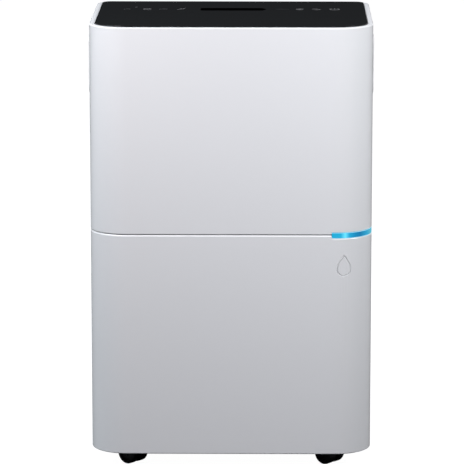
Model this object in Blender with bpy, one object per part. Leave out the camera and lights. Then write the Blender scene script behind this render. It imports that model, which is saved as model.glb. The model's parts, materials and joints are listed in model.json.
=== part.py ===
"""A free-standing compressor dehumidifier with a pull-out water bucket, built piece by piece.

Metres, +Z up. The front faces -Y and +X is the right side seen from the front. The heights below
are drawn from a datum 1 mm below the floor. Last of all the machine is lowered to stand on z = 0,
with the origin on the floor under the middle of the body.
"""

import math

import bmesh
import bpy
from mathutils import Matrix, Vector

# --- driving dimensions -------------------------------------------------------------------------
BODY_WIDTH = 0.383
BODY_DEPTH = 0.282
FLOOR_Z = 0.0010
BODY_BASE_Z = 0.0275
BODY_TOP_Z = 0.6144
SEAM_Z = 0.333  # the join between the upper front panel and the bucket front
SEAM_GAP = 0.0010
FRONT_CORNER_R = 0.050
REAR_CORNER_R = 0.020
WALL = 0.0028
GAP = 0.0004  # what two touching pieces keep between them
HALF_W = BODY_WIDTH / 2
HALF_D = BODY_DEPTH / 2
SPLIT_Y = -HALF_D + FRONT_CORNER_R + 0.004  # where the front shells meet the rear housing
ARC_STEPS = 7

# top
RIM_Z = BODY_TOP_Z - 0.0025  # the underside of the top cover's visible rim
RIM_WIDTH = 0.0071
LEDGE_Z = BODY_TOP_Z - 0.0056
PANEL_TOP_Z = BODY_TOP_Z + 0.0012

# light bar in the seam at the right front corner
BAR_START_X = 0.1365
BAR_TOP_Z = SEAM_Z + 0.0030
BAR_BOTTOM_Z = SEAM_Z - 0.0048
BAR_DEPTH = 0.006

# base and bucket bay
PAN_INSET = WALL + GAP
PAN_WALL = 0.0025
DECK_TOP_Z = 0.049
DECK_BOTTOM_Z = 0.046
MID_DECK_Z = (0.3225, 0.3255)
BAY_WALL_Y = (-0.0080, -0.0055)

# bucket
TUB_HALF_W = 0.184
TUB_Y = (-0.1378, -0.0115)
TUB_Z = (0.0500, 0.2740)
TUB_WALL = 0.0022
TUB_FRONT_R = 0.0468
TUB_REAR_R = 0.012
LID_Z = (0.2744, 0.2774)
HANDLE_PIVOT = Vector((0.0, -0.085, 0.2806))
HANDLE_REACH = 0.034
HANDLE_HALF_W = 0.150
FLOAT_PIVOT = Vector((0.115, -0.030, 0.262))
FLOAT_ARM = 0.050
DRIP_HOLE = (0.0, -0.040)

# casters
CASTER_X = 0.136
CASTER_Y = 0.083
CASTER_TRAIL = 0.009
CASTER_AXLE_TURN = math.radians(50)
WHEEL_R = 0.0155
WHEEL_HALF_PAIR = 0.015
WHEEL_WEB = 0.006
STEM_R = 0.0042
STEM_BORE_R = 0.0047

# side handles
HANDLE_Y = (-0.085, 0.037)
HANDLE_Z = (0.517, 0.596)
HANDLE_LIP = 0.0013
HANDLE_FLANGE = 0.0045
HANDLE_CUP_DEPTH = 0.024

# rear intake, side outlet and rear fittings
INTAKE_X = 0.150
INTAKE_Z = (0.345, 0.575)
OUTLET_Y = (-0.004, 0.056)
OUTLET_Z = (0.342, 0.433)
DRAIN_XZ = (0.092, 0.294)
DRAIN_R = 0.0200
GLAND_XZ = (-0.140, 0.085)
GLAND_R = 0.0105
SCREW_X = 0.135
SCREW_Z = {"base": 0.037, "deck": 0.314, "top": 0.604}
SCREW_HEAD_R = 0.0038
SCREW_SHANK_R = 0.0015

# refrigeration and air path
COIL_X = (-0.150, 0.122)
COIL_Z = (0.346, 0.572)
CONDENSER_Y = (0.060, 0.088)
EVAPORATOR_Y = (0.096, 0.120)
COMPRESSOR_XY = (-0.075, 0.066)
COMPRESSOR_R = 0.054
COMPRESSOR_Z = (0.0668, 0.2500)
FOOT_CIRCLE_R = 0.0595
ACCUMULATOR_XY = (0.014, 0.066)
ACCUMULATOR_R = 0.021
ACCUMULATOR_Z = (0.120, 0.232)
FAN_AXIS = (0.0, 0.458)
FAN_R = 0.080
FAN_Y = (0.0050, 0.0450)
VOLUTE_Y = (0.0005, 0.0520)
SHAFT_R = 0.0040
BLADES = 18

# colours: linear base colour, metallic, roughness
WHITE = ((0.78, 0.79, 0.80), 0.0, 0.32)
GREY_PLASTIC = ((0.30, 0.31, 0.32), 0.0, 0.5)
BLACK_GLOSS = ((0.013, 0.014, 0.015), 0.0, 0.12)
BLACK_PLASTIC = ((0.012, 0.012, 0.013), 0.0, 0.45)
CYAN = ((0.02, 0.42, 0.66), 0.0, 0.25)
TUB_PLASTIC = ((0.55, 0.56, 0.58), 0.0, 0.4)
MESH_GREY = ((0.10, 0.10, 0.11), 0.0, 0.8)
FOAM = ((0.80, 0.80, 0.78), 0.0, 0.9)
BOARD_GREEN = ((0.02, 0.14, 0.05), 0.0, 0.45)
STEEL = ((0.55, 0.56, 0.57), 1.0, 0.35)
FIN_ALUMINIUM = ((0.72, 0.74, 0.76), 1.0, 0.35)
COPPER = ((0.72, 0.32, 0.16), 1.0, 0.3)
COMPRESSOR_BLACK = ((0.015, 0.015, 0.016), 0.0, 0.35)
RUBBER = ((0.02, 0.02, 0.02), 0.0, 0.85)

materials = {}


def material(name, look):
    """The material of that name, made the first time that it is asked for."""
    if name not in materials:
        colour, metallic, roughness = look
        made = bpy.data.materials.new(name)
        made.use_nodes = True
        shader = made.node_tree.nodes["Principled BSDF"]
        shader.inputs["Base Color"].default_value = (*colour, 1.0)
        shader.inputs["Metallic"].default_value = metallic
        shader.inputs["Roughness"].default_value = roughness
        materials[name] = made
    return materials[name]


# --- shape helpers ------------------------------------------------------------------------------


def solid(name, points, faces, look=None, smooth_deg=35):
    """A mesh object of these points and faces, with its normals facing out."""
    mesh = bpy.data.meshes.new(name)
    mesh.from_pydata([tuple(p) for p in points], [], faces)
    work = bmesh.new()
    work.from_mesh(mesh)
    bmesh.ops.recalc_face_normals(work, faces=work.faces)
    many_sided = [face for face in work.faces if len(face.verts) > 4]
    bmesh.ops.triangulate(work, faces=many_sided)
    work.to_mesh(mesh)
    work.free()
    mesh.shade_smooth()
    mesh.set_sharp_from_angle(angle=math.radians(smooth_deg))
    if look is not None:
        mesh.materials.append(look)
    made = bpy.data.objects.new(name, mesh)
    bpy.context.scene.collection.objects.link(made)
    return made


def box(name, x, y, z, look=None):
    """A block between the two ends of each range."""
    points = [(a, b, c) for a in x for b in y for c in z]
    faces = [(0, 1, 3, 2), (4, 6, 7, 5), (0, 4, 5, 1), (2, 3, 7, 6), (0, 2, 6, 4), (1, 5, 7, 3)]
    return solid(name, points, faces, look)


def prism(name, outline, axis, low, high, look=None):
    """A flat outline carried along an axis. The outline is in (x, y), (y, z) or (x, z)."""
    place = {
        "Z": lambda u, v, w: (u, v, w),
        "X": lambda u, v, w: (w, u, v),
        "Y": lambda u, v, w: (u, w, v),
    }[axis]
    count = len(outline)
    points = [place(u, v, low) for u, v in outline] + [place(u, v, high) for u, v in outline]
    faces = [tuple(range(count)), tuple(range(count, 2 * count))]
    faces += [(i, (i + 1) % count, count + (i + 1) % count, count + i) for i in range(count)]
    return solid(name, points, faces, look)


def turned(name, profile, centre, axis, steps, look=None, smooth_deg=35):
    """A profile of (radius, height) points turned about an axis through centre."""
    axis = Vector(axis).normalized()
    side = axis.orthogonal().normalized()
    other = axis.cross(side)
    centre = Vector(centre)
    points = []
    rings = []
    for radius, height in profile:
        if radius == 0:
            rings.append([len(points)] * steps)
            points.append(centre + axis * height)
            continue
        rings.append([len(points) + i for i in range(steps)])
        for i in range(steps):
            angle = 2 * math.pi * i / steps
            around = side * math.cos(angle) + other * math.sin(angle)
            points.append(centre + axis * height + around * radius)
    faces = []
    closed = profile[0][0] > 0
    for k in range(len(rings) if closed else len(rings) - 1):
        low, high = rings[k], rings[(k + 1) % len(rings)]
        for i in range(steps):
            j = (i + 1) % steps
            corners = []
            for corner in (low[i], low[j], high[j], high[i]):
                if corner not in corners:
                    corners.append(corner)
            if len(corners) > 2:
                faces.append(tuple(corners))
    return solid(name, points, faces, look, smooth_deg)


def cylinder(name, centre, axis, radius, length, steps=24, look=None):
    """A plain round bar that starts at centre and runs along the axis."""
    return turned(name, [(0, 0), (radius, 0), (radius, length), (0, length)], centre, axis, steps, look)


def pipe(name, route, radius, look, steps_each=3):
    """A round tube along a smooth line through the route's points, with flat ends on straight stubs."""
    knots = [Vector(p) for p in route]
    knots.insert(1, knots[0].lerp(knots[1], 0.3))
    knots.insert(-1, knots[-1].lerp(knots[-2], 0.3))
    knots = [2 * knots[0] - knots[1]] + knots + [2 * knots[-1] - knots[-2]]
    line = []
    for k in range(1, len(knots) - 2):
        before, here, there, after = knots[k - 1 : k + 3]
        for i in range(steps_each):
            t = i / steps_each
            bend = 2 * before - 5 * here + 4 * there - after
            twist = 3 * here - before - 3 * there + after
            line.append(0.5 * (2 * here + (there - before) * t + bend * t * t + twist * t * t * t))
    line.append(knots[-2])
    curve = bpy.data.curves.new(name, "CURVE")
    curve.dimensions = "3D"
    curve.bevel_depth = radius
    curve.bevel_resolution = 2
    curve.use_fill_caps = True
    spline = curve.splines.new("POLY")
    spline.points.add(len(line) - 1)
    for point, place in zip(spline.points, line):
        point.co = (*place, 1.0)
    curve.materials.append(look)
    made = bpy.data.objects.new(name, curve)
    bpy.context.scene.collection.objects.link(made)
    return made


def combine(target, other, operation):
    """Adds the other solid to the target or cuts it out, and hides the other one."""
    step = target.modifiers.new(f"{operation.lower()} {other.name}", "BOOLEAN")
    step.operation = operation
    step.solver = "EXACT"
    step.object = other
    other.hide_render = True
    other.display_type = "WIRE"
    return target


def cut(target, cutter):
    return combine(target, cutter, "DIFFERENCE")


def fuse(target, other):
    return combine(target, other, "UNION")


def set_origin(target, place):
    """Moves the object's origin to place, and leaves its shape where it is."""
    target.data.transform(Matrix.Translation(-Vector(place)))
    target.location = place
    return target


def corner(centre_x, centre_y, radius, start_deg, steps=ARC_STEPS):
    """Stations (x, y, outward x, outward y) round a quarter turn of the body's plan."""
    found = []
    for i in range(steps + 1):
        angle = math.radians(start_deg + 90 * i / steps)
        out_x, out_y = math.cos(angle), math.sin(angle)
        found.append((centre_x + radius * out_x, centre_y + radius * out_y, out_x, out_y))
    return found


def front_stations():
    """From the left split line round the front to the right split line."""
    inner_x = HALF_W - FRONT_CORNER_R
    inner_y = -HALF_D + FRONT_CORNER_R
    left = [(-HALF_W, SPLIT_Y, -1.0, 0.0)]
    right = [(HALF_W, SPLIT_Y, 1.0, 0.0)]
    arc_left = corner(-inner_x, inner_y, FRONT_CORNER_R, 180)
    arc_right = corner(inner_x, inner_y, FRONT_CORNER_R, 270)
    return left + arc_left + arc_right + right


def rear_stations(gap=GAP):
    """From the right split line round the back to the left split line."""
    inner_x = HALF_W - REAR_CORNER_R
    inner_y = HALF_D - REAR_CORNER_R
    right = [(HALF_W, SPLIT_Y + gap, 1.0, 0.0)]
    left = [(-HALF_W, SPLIT_Y + gap, -1.0, 0.0)]
    arc_right = corner(inner_x, inner_y, REAR_CORNER_R, 0)
    arc_left = corner(-inner_x, inner_y, REAR_CORNER_R, 90)
    return right + arc_right + arc_left + left


def all_stations():
    """The whole plan outline, anticlockwise from above."""
    return front_stations()[1:-1] + rear_stations()[1:-1]


def bar_stations(extra=0.0):
    """The seam light's stretch of the outline: a short straight, then the right front corner."""
    inner_x = HALF_W - FRONT_CORNER_R
    inner_y = -HALF_D + FRONT_CORNER_R
    start = [(BAR_START_X - extra, -HALF_D, 0.0, -1.0)]
    end = [(HALF_W, SPLIT_Y + 2 * extra, 1.0, 0.0)]
    return start + corner(inner_x, inner_y, FRONT_CORNER_R, 270) + end


def wall_along(name, stations, profile, look=None, closed=False):
    """A profile of (inset, z) points carried along the outline's stations."""
    points = []
    for x, y, out_x, out_y in stations:
        points += [(x - inset * out_x, y - inset * out_y, z) for inset, z in profile]
    size = len(profile)
    faces = []
    last = len(stations) if closed else len(stations) - 1
    for s in range(last):
        here, there = s * size, ((s + 1) % len(stations)) * size
        for k in range(size):
            j = (k + 1) % size
            faces.append((here + k, there + k, there + j, here + j))
    if not closed:
        faces.append(tuple(range(size)))
        faces.append(tuple((len(stations) - 1) * size + k for k in range(size)))
    return solid(name, points, faces, look)


def inset_outline(inset):
    """The body's plan outline, moved inwards, as (x, y) points."""
    return [(x - inset * out_x, y - inset * out_y) for x, y, out_x, out_y in all_stations()]


def rounded(x, y, front_r, rear_r, steps=8):
    """A rounded rectangle in plan with its own front and rear corner radii."""
    found = []
    for centre_x, centre_y, radius, start in (
        (x[0] + front_r, y[0] + front_r, front_r, 180),
        (x[1] - front_r, y[0] + front_r, front_r, 270),
        (x[1] - rear_r, y[1] - rear_r, rear_r, 0),
        (x[0] + rear_r, y[1] - rear_r, rear_r, 90),
    ):
        found += [(a, b) for a, b, _, _ in corner(centre_x, centre_y, radius, start, steps)]
    return found


def widened(span, by):
    return (span[0] - by, span[1] + by)


# --- outer shell --------------------------------------------------------------------------------


def bar_notch(name):
    """The space round the seam light, cut from both panels that it lies between."""
    inner = BAR_DEPTH + 0.004
    low, high = BAR_BOTTOM_Z - GAP, BAR_TOP_Z + GAP
    profile = [(-0.002, low), (-0.002, high), (inner, high), (inner, low)]
    return wall_along(name, bar_stations(GAP), profile)


def front_upper_panel():
    low = SEAM_Z + SEAM_GAP / 2
    high = RIM_Z - GAP
    profile = [(0.0006, low), (0.0, low + 0.0006), (0.0, high), (WALL, high), (WALL, low)]
    panel = wall_along("front_upper_panel", front_stations(), profile, material("white_plastic", WHITE))
    return cut(panel, bar_notch("cut_bar_upper"))


def bucket_front():
    low = BODY_BASE_Z
    high = SEAM_Z - SEAM_GAP / 2
    profile = [
        (0.0016, low),
        (0.0, low + 0.0020),
        (0.0, high - 0.0030),
        (0.0016, high),
        (WALL, high),
        (WALL, low),
    ]
    panel = wall_along("bucket_front", front_stations(), profile, material("white_plastic", WHITE))
    return cut(panel, bar_notch("cut_bar_lower"))


def led_bar():
    inner = BAR_DEPTH
    edge = 0.0008
    profile = [
        (edge, BAR_BOTTOM_Z),
        (0.0, BAR_BOTTOM_Z + edge),
        (0.0, BAR_TOP_Z - edge),
        (edge, BAR_TOP_Z),
        (inner, BAR_TOP_Z),
        (inner, BAR_BOTTOM_Z),
    ]
    return wall_along("led_bar", bar_stations(), profile, material("cyan_light", CYAN))


def led_board():
    """A short strip of board behind the middle of the corner, at 45 degrees to the front."""
    centre = Vector((HALF_W - FRONT_CORNER_R, -HALF_D + FRONT_CORNER_R, 0.0))
    board = box("led_board", (-0.007, 0.007), (-0.0420, -0.0405), (SEAM_Z - 0.0035, SEAM_Z + 0.0025))
    board.data.materials.append(material("board_green", BOARD_GREEN))
    board.location = centre
    board.rotation_euler = (0.0, 0.0, math.radians(45))
    return board


def rear_housing():
    low, high = BODY_BASE_Z, RIM_Z - GAP
    profile = [(0.0016, low), (0.0, low + 0.0020), (0.0, high), (WALL, high), (WALL, low)]
    housing = wall_along("rear_housing", rear_stations(), profile, material("white_plastic", WHITE))
    back = (HALF_D - 0.02, HALF_D + 0.02)
    cut(housing, box("cut_intake", (-INTAKE_X, INTAKE_X), back, INTAKE_Z))
    cut(housing, box("cut_outlet", (-HALF_W - 0.01, -HALF_W + 0.01), OUTLET_Y, OUTLET_Z))
    for side in (-1, 1):
        across = sorted((side * (HALF_W - 0.01), side * (HALF_W + 0.01)))
        span_y = widened(HANDLE_Y, -HANDLE_FLANGE)
        span_z = widened(HANDLE_Z, -HANDLE_FLANGE)
        cut(housing, box(f"cut_handle_{side}", across, span_y, span_z))
    for name, place, radius in (
        ("cut_drain", DRAIN_XZ, DRAIN_R),
        ("cut_gland", GLAND_XZ, GLAND_R),
    ):
        start = (place[0], back[0], place[1])
        cut(housing, cylinder(name, start, (0, 1, 0), radius, back[1] - back[0], 20))
    for level in SCREW_Z:
        screw_holes(housing, level, SCREW_HEAD_R + GAP)
    return housing


def screw_holes(target, level, radius):
    """Cuts the pair of holes that this level's two rear screws pass through."""
    for side in (-1, 1):
        start = (side * SCREW_X, HALF_D - 0.020, SCREW_Z[level])
        cut(target, cylinder(f"hole_{target.name}_{level}_{side}", start, (0, 1, 0), radius, 0.04, 12))
    return target


def rear_screws():
    """Pan-headed screws that sit flush in the housing, each with its shank running inwards."""
    steel = material("screw_steel", STEEL)
    places = [(side, level) for level in SCREW_Z for side in (-1, 1)]
    for side, level in places:
        x, z = side * SCREW_X, SCREW_Z[level]
        head, shank, length = SCREW_HEAD_R, SCREW_SHANK_R, 0.009
        profile = [(0, 0), (shank, 0), (shank, length - 0.002), (head, length - 0.002)]
        profile += [(head, length - 0.0006), (head - 0.0008, length), (0, length)]
        start = (x, HALF_D - 0.0003 - length, z)
        hand = "left" if side < 0 else "right"
        turned(f"rear_screw_{level}_{hand}", profile, start, (0, 1, 0), 12, steel)


def top_cover():
    skirt = WALL + GAP + 0.0002
    profile = [
        (0.0, RIM_Z),
        (0.0, BODY_TOP_Z - 0.0013),
        (0.0013, BODY_TOP_Z),
        (RIM_WIDTH - 0.0004, BODY_TOP_Z),
        (RIM_WIDTH, BODY_TOP_Z - 0.0004),
        (RIM_WIDTH, LEDGE_Z),
        (0.0180, LEDGE_Z),
        (0.0180, LEDGE_Z - 0.0022),
        (skirt + 0.0026, LEDGE_Z - 0.0022),
        (skirt + 0.0026, RIM_Z - 0.013),
        (skirt, RIM_Z - 0.013),
        (skirt, RIM_Z),
    ]
    white = material("white_plastic", WHITE)
    cover = wall_along("top_cover", all_stations(), profile, white, closed=True)
    return screw_holes(cover, "top", SCREW_SHANK_R + GAP)


def control_panel():
    outline = inset_outline(RIM_WIDTH + GAP)
    glass = material("black_gloss", BLACK_GLOSS)
    return prism("control_panel", outline, "Z", LEDGE_Z + GAP, PANEL_TOP_Z, glass)


def display_board():
    board = material("board_green", BOARD_GREEN)
    return box("display_board", (-0.160, 0.160), (0.020, 0.082), (0.5985, 0.6001), board)


def side_handles():
    """Grip cups with a thin lip that stands proud of the side walls."""
    grip = material("white_plastic", WHITE)
    for name, side in (("handle_left", -1), ("handle_right", 1)):
        lip = sorted((side * (HALF_W + 0.0003), side * (HALF_W + HANDLE_LIP)))
        cup = sorted((side * (HALF_W - HANDLE_CUP_DEPTH), side * (HALF_W + 0.0007)))
        hollow = sorted((side * (HALF_W - HANDLE_CUP_DEPTH + 0.0022), side * (HALF_W + 0.01)))
        handle = box(name, lip, HANDLE_Y, HANDLE_Z, grip)
        inset = HANDLE_FLANGE + GAP
        fuse(handle, box(f"{name}_cup", cup, widened(HANDLE_Y, -inset), widened(HANDLE_Z, -inset)))
        inset += 0.0022
        cutter = box(f"{name}_hollow", hollow, widened(HANDLE_Y, -inset), widened(HANDLE_Z, -inset))
        cut(handle, cutter)


# --- intake, outlet and rear fittings ---------------------------------------------------------------


def many_boxes(name, spans):
    """Separate blocks in one mesh, for one cut or one union."""
    points = []
    faces = []
    for x, y, z in spans:
        base = len(points)
        points += [(a, b, c) for a in x for b in y for c in z]
        for face in ((0, 1, 3, 2), (4, 6, 7, 5), (0, 4, 5, 1), (2, 3, 7, 6), (0, 2, 6, 4), (1, 5, 7, 3)):
            faces.append(tuple(base + k for k in face))
    return solid(name, points, faces)


def intake_grille():
    """The filter cassette's outer frame, with slots for the air across the back."""
    x = widened((-INTAKE_X, INTAKE_X), -0.0005)
    z = widened(INTAKE_Z, -0.0005)
    grille = box("intake_grille", x, (0.1310, HALF_D), z, material("white_plastic", WHITE))
    rows, columns = 12, 2
    border = 0.012
    pitch_z = (z[1] - z[0] - 2 * border) / rows
    pitch_x = (x[1] - x[0] - 2 * border) / columns
    spans = []
    for row in range(rows):
        low = z[0] + border + row * pitch_z
        for column in range(columns):
            left = x[0] + border + column * pitch_x
            slot_x = (left + 0.003, left + pitch_x - 0.003)
            spans.append((slot_x, (0.12, 0.16), (low + 0.0045, low + pitch_z - 0.0015)))
    return cut(grille, many_boxes("cut_intake_slots", spans))


def filter_mesh():
    x = widened((-INTAKE_X, INTAKE_X), -0.003)
    z = widened(INTAKE_Z, -0.003)
    return box("filter_mesh", x, (0.1280, 0.1306), z, material("filter_grey", MESH_GREY))


def outlet_grille():
    """Level vanes in the left side's air outlet."""
    y = widened(OUTLET_Y, -0.0005)
    z = widened(OUTLET_Z, -0.0005)
    across = (-HALF_W, -HALF_W + 0.008)
    grille = box("outlet_grille", across, y, z, material("white_plastic", WHITE))
    rows = 9
    border = 0.004
    pitch = (z[1] - z[0] - 2 * border) / rows
    spans = []
    for row in range(rows):
        low = z[0] + border + row * pitch
        slot_y = widened(y, -border)
        spans.append(((-HALF_W - 0.01, -HALF_W + 0.02), slot_y, (low + 0.001, low + pitch - 0.001)))
    return cut(grille, many_boxes("cut_outlet_slots", spans))


def drain_fitting():
    """A dished port in the back wall with a hose spigot in its middle, and the cap over the spigot."""
    x, z = DRAIN_XZ
    plastic = material("grey_plastic", GREY_PLASTIC)
    outer, dish, depth = DRAIN_R - GAP, DRAIN_R - 0.0024, 0.015
    spigot, bore = 0.0080, 0.0056
    profile = [
        (outer, 0.0),
        (dish, 0.0),
        (dish, -depth),
        (spigot, -depth),
        (spigot, -0.0025),
        (bore, -0.0025),
        (bore, -depth - 0.016),
        (spigot, -depth - 0.016),
        (spigot, -depth - 0.0022),
        (outer, -depth - 0.0022),
    ]
    turned("drain_port", profile, (x, HALF_D, z), (0, 1, 0), 20, plastic)
    cap_r = 0.0125
    cap = [(0, -0.0021), (spigot + GAP, -0.0021), (spigot + GAP, -depth + 0.0015)]
    cap += [(cap_r, -depth + 0.0015), (cap_r, -0.0010), (cap_r - 0.0010, 0.0), (0, 0.0)]
    drain_cap = turned("drain_cap", cap, (x, HALF_D, z), (0, 1, 0), 20, plastic)
    set_origin(drain_cap, (x, HALF_D, z))


def cord_gland():
    """The rubber inlet that the mains cord enters through."""
    x, z = GLAND_XZ
    outer, flange, bore = GLAND_R - GAP, GLAND_R + 0.0030, 0.0040
    profile = [
        (outer, 0.0),
        (bore, 0.0),
        (bore, -0.012),
        (flange, -0.012),
        (flange, -WALL - GAP),
        (outer, -WALL - GAP),
    ]
    turned("cord_gland", profile, (x, HALF_D, z), (0, 1, 0), 16, material("rubber", RUBBER))


# --- base and casters -----------------------------------------------------------------------------


def caster_places():
    """The name, wheel centre and swivel axis of each caster: the wheels trail behind their stems."""
    axle = Vector((math.cos(CASTER_AXLE_TURN), math.sin(CASTER_AXLE_TURN), 0.0))
    trail = Vector((-axle.y, axle.x, 0.0)) * CASTER_TRAIL
    for name, x, y in (
        ("front_left", -CASTER_X, -CASTER_Y),
        ("front_right", CASTER_X, -CASTER_Y),
        ("rear_left", -CASTER_X, CASTER_Y),
        ("rear_right", CASTER_X, CASTER_Y),
    ):
        wheels = Vector((x, y, FLOOR_Z + WHEEL_R))
        yield name, wheels, wheels - trail, axle


def base_pan():
    """An upturned tray: a deck with a skirt round it, and a boss over each caster's stem."""
    plastic = material("grey_plastic", GREY_PLASTIC)
    outline = inset_outline(PAN_INSET)
    pan = prism("base_pan", outline, "Z", BODY_BASE_Z + 0.0005, DECK_TOP_Z, plastic)
    inside = inset_outline(PAN_INSET + PAN_WALL)
    cut(pan, prism("cut_pan", inside, "Z", 0.0, DECK_BOTTOM_Z))
    for name, _, stem, _ in caster_places():
        low = 0.0373
        boss = cylinder(f"boss_{name}", (stem.x, stem.y, low), (0, 0, 1), 0.0105, 0.0100, 14)
        fuse(pan, boss)
        start = (stem.x, stem.y, 0.020)
        cut(pan, cylinder(f"bore_{name}", start, (0, 0, 1), STEM_BORE_R, 0.0262, 14))
    return screw_holes(pan, "base", SCREW_SHANK_R + GAP)


def casters():
    """Twin wheels on one axle, each side of a web that carries the swivel stem."""
    black = material("caster_black", BLACK_PLASTIC)
    for name, wheels, stem, axle in caster_places():
        toward = Vector((wheels.x - stem.x, wheels.y - stem.y, 0.0)).normalized()
        web_r = 0.0115
        half_web = WHEEL_WEB / 2
        base = stem.copy()
        base.z = 0.0
        profile = [(0, 0.0340), (0.0115, 0.0340), (0.0125, 0.0355), (0.0125, 0.0367), (STEM_R, 0.0367)]
        profile += [(STEM_R, 0.0450), (0, 0.0450)]
        swivel = turned(f"caster_{name}_swivel", profile, base, (0, 0, 1), 16, black)
        start = wheels - axle * half_web
        web = cylinder(f"web_{name}", start, axle, web_r, WHEEL_WEB, 20)
        fuse(swivel, web)
        corners = []
        for along in (-0.009, 0.0085):
            for across in (-half_web + 0.0002, half_web - 0.0002):
                corners.append(stem.xy.to_3d() + toward * along + axle * across)
        neck_points = [(c.x, c.y, z) for c in corners for z in (0.0176, 0.0347)]
        neck_faces = [(0, 1, 3, 2), (4, 6, 7, 5), (0, 4, 5, 1), (2, 3, 7, 6), (0, 2, 6, 4), (1, 5, 7, 3)]
        for k in (0, 2):
            x, y, z = neck_points[k]
            neck_points[k] = (x + 0.008 * toward.x, y + 0.008 * toward.y, z)
        fuse(swivel, solid(f"neck_{name}", neck_points, neck_faces))
        start = wheels - axle * 0.01
        cut(swivel, cylinder(f"axle_bore_{name}", start, axle, 0.0030, 0.02, 12))
        set_origin(swivel, stem)
        inner, outer = half_web + 0.0005, WHEEL_HALF_PAIR
        edge = 0.0016
        profile = [(0, -outer), (WHEEL_R - 2 * edge, -outer), (WHEEL_R, -outer + edge)]
        profile += [(WHEEL_R, -inner), (0.0026, -inner), (0.0026, inner), (WHEEL_R, inner)]
        profile += [(WHEEL_R, outer - edge), (WHEEL_R - 2 * edge, outer), (0, outer)]
        wheel = turned(f"caster_{name}_wheels", profile, wheels, axle, 20, black)
        set_origin(wheel, wheels)


# --- bucket -----------------------------------------------------------------------------------------


def bucket_tub():
    plastic = material("tub_plastic", TUB_PLASTIC)
    outline = rounded((-TUB_HALF_W, TUB_HALF_W), TUB_Y, TUB_FRONT_R, TUB_REAR_R)
    tub = prism("bucket_tub", outline, "Z", *TUB_Z, plastic)
    inner = rounded(
        (-TUB_HALF_W + TUB_WALL, TUB_HALF_W - TUB_WALL),
        widened(TUB_Y, -TUB_WALL),
        TUB_FRONT_R - TUB_WALL,
        TUB_REAR_R - TUB_WALL,
    )
    return cut(tub, prism("cut_tub", inner, "Z", TUB_Z[0] + TUB_WALL, TUB_Z[1] + 0.02))


def bucket_lid():
    plastic = material("white_plastic", WHITE)
    outline = rounded((-TUB_HALF_W, TUB_HALF_W), TUB_Y, TUB_FRONT_R, TUB_REAR_R)
    lid = prism("bucket_lid", outline, "Z", *LID_Z, plastic)
    high = widened(LID_Z, 0.01)
    cut(lid, cylinder("cut_drip", (*DRIP_HOLE, high[0]), (0, 0, 1), 0.018, 0.03, 28))
    pour = [(-0.172, -0.072), (-0.130, -0.072), (-0.105, -0.050), (-0.105, -0.026), (-0.172, -0.026)]
    cut(lid, prism("cut_pour", pour, "Z", *high))
    for side in (-1, 1):
        for across in (0.1425, 0.1545):
            near = side * across
            span = sorted((near - 0.0015, near + 0.0015))
            ear = box(f"ear_{side}_{across}", span, widened((-0.085, -0.085), 0.006), (0.2766, 0.2856))
            fuse(lid, ear)
        start = (side * 0.140 if side > 0 else -0.157, -0.085, HANDLE_PIVOT.z)
        cut(lid, cylinder(f"cut_ear_{side}", start, (1, 0, 0), 0.0024, 0.017, 12))
    return lid


def bucket_handle():
    """A flat bail whose two arms turn on pins between the lid's ears."""
    grip = material("grey_plastic", GREY_PLASTIC)
    y, z = HANDLE_PIVOT.y, HANDLE_PIVOT.z
    front = y - HANDLE_REACH
    half = HANDLE_HALF_W
    low, high = z - 0.0024, z + 0.0024
    bail = box("bucket_handle", (-half, half), (front - 0.005, front + 0.005), (low, high), grip)
    for side in (-1, 1):
        arm_x = sorted((side * (half - 0.0030), side * half))
        fuse(bail, box(f"arm_{side}", arm_x, (front - 0.001, y + 0.0016), (low + 0.0001, high - 0.0001)))
        start = 0.1405 if side > 0 else -0.1565
        pin = cylinder(f"pin_{side}", (start, y, z), (1, 0, 0), 0.0018, 0.016, 12)
        fuse(bail, pin)
    return set_origin(bail, HANDLE_PIVOT)


def bucket_float():
    """A foam float on a hinged arm inside the tub."""
    x, y, z = FLOAT_PIVOT
    foam = material("float_foam", FOAM)
    low = z - 0.026
    body = box("bucket_float", (x - 0.022, x + 0.022), (y - FLOAT_ARM - 0.018, y - FLOAT_ARM + 0.018), (low, z - 0.008))
    body.data.materials.append(foam)
    fuse(body, box("float_arm", (x - 0.004, x + 0.004), (y - FLOAT_ARM, y + 0.003), (z - 0.010, z - 0.0004)))
    fuse(body, cylinder("float_pin", (x - 0.016, y, z - 0.003), (1, 0, 0), 0.003, 0.032, 12))
    return set_origin(body, (x, y, z - 0.003))


# --- chassis ------------------------------------------------------------------------------------------


def bay_frame():
    """The deck above the bucket and the wall behind it, with gaps for the drip spout and the pipes."""
    plastic = material("grey_plastic", GREY_PLASTIC)
    frame = prism("bay_frame", inset_outline(WALL + 0.0008), "Z", *MID_DECK_Z, plastic)
    wall_z = (DECK_TOP_Z + GAP, MID_DECK_Z[0] + 0.001)
    fuse(frame, box("bay_wall", (-0.1865, 0.1865), BAY_WALL_Y, wall_z))
    for side in (-1, 1):
        lug_x = widened((side * SCREW_X, side * SCREW_X), 0.007)
        fuse(frame, box(f"lug_{side}", lug_x, (0.126, HALF_D - WALL - 0.0010), (0.3070, MID_DECK_Z[0] + 0.001)))
    screw_holes(frame, "deck", SCREW_SHANK_R + GAP)
    high = widened(MID_DECK_Z, 0.01)
    cut(frame, cylinder("cut_spout", (*DRIP_HOLE, high[0]), (0, 0, 1), 0.0085, 0.03, 24))
    cut(frame, box("cut_pipes", (0.140, 0.182), (0.058, 0.118), high))
    return frame


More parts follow.
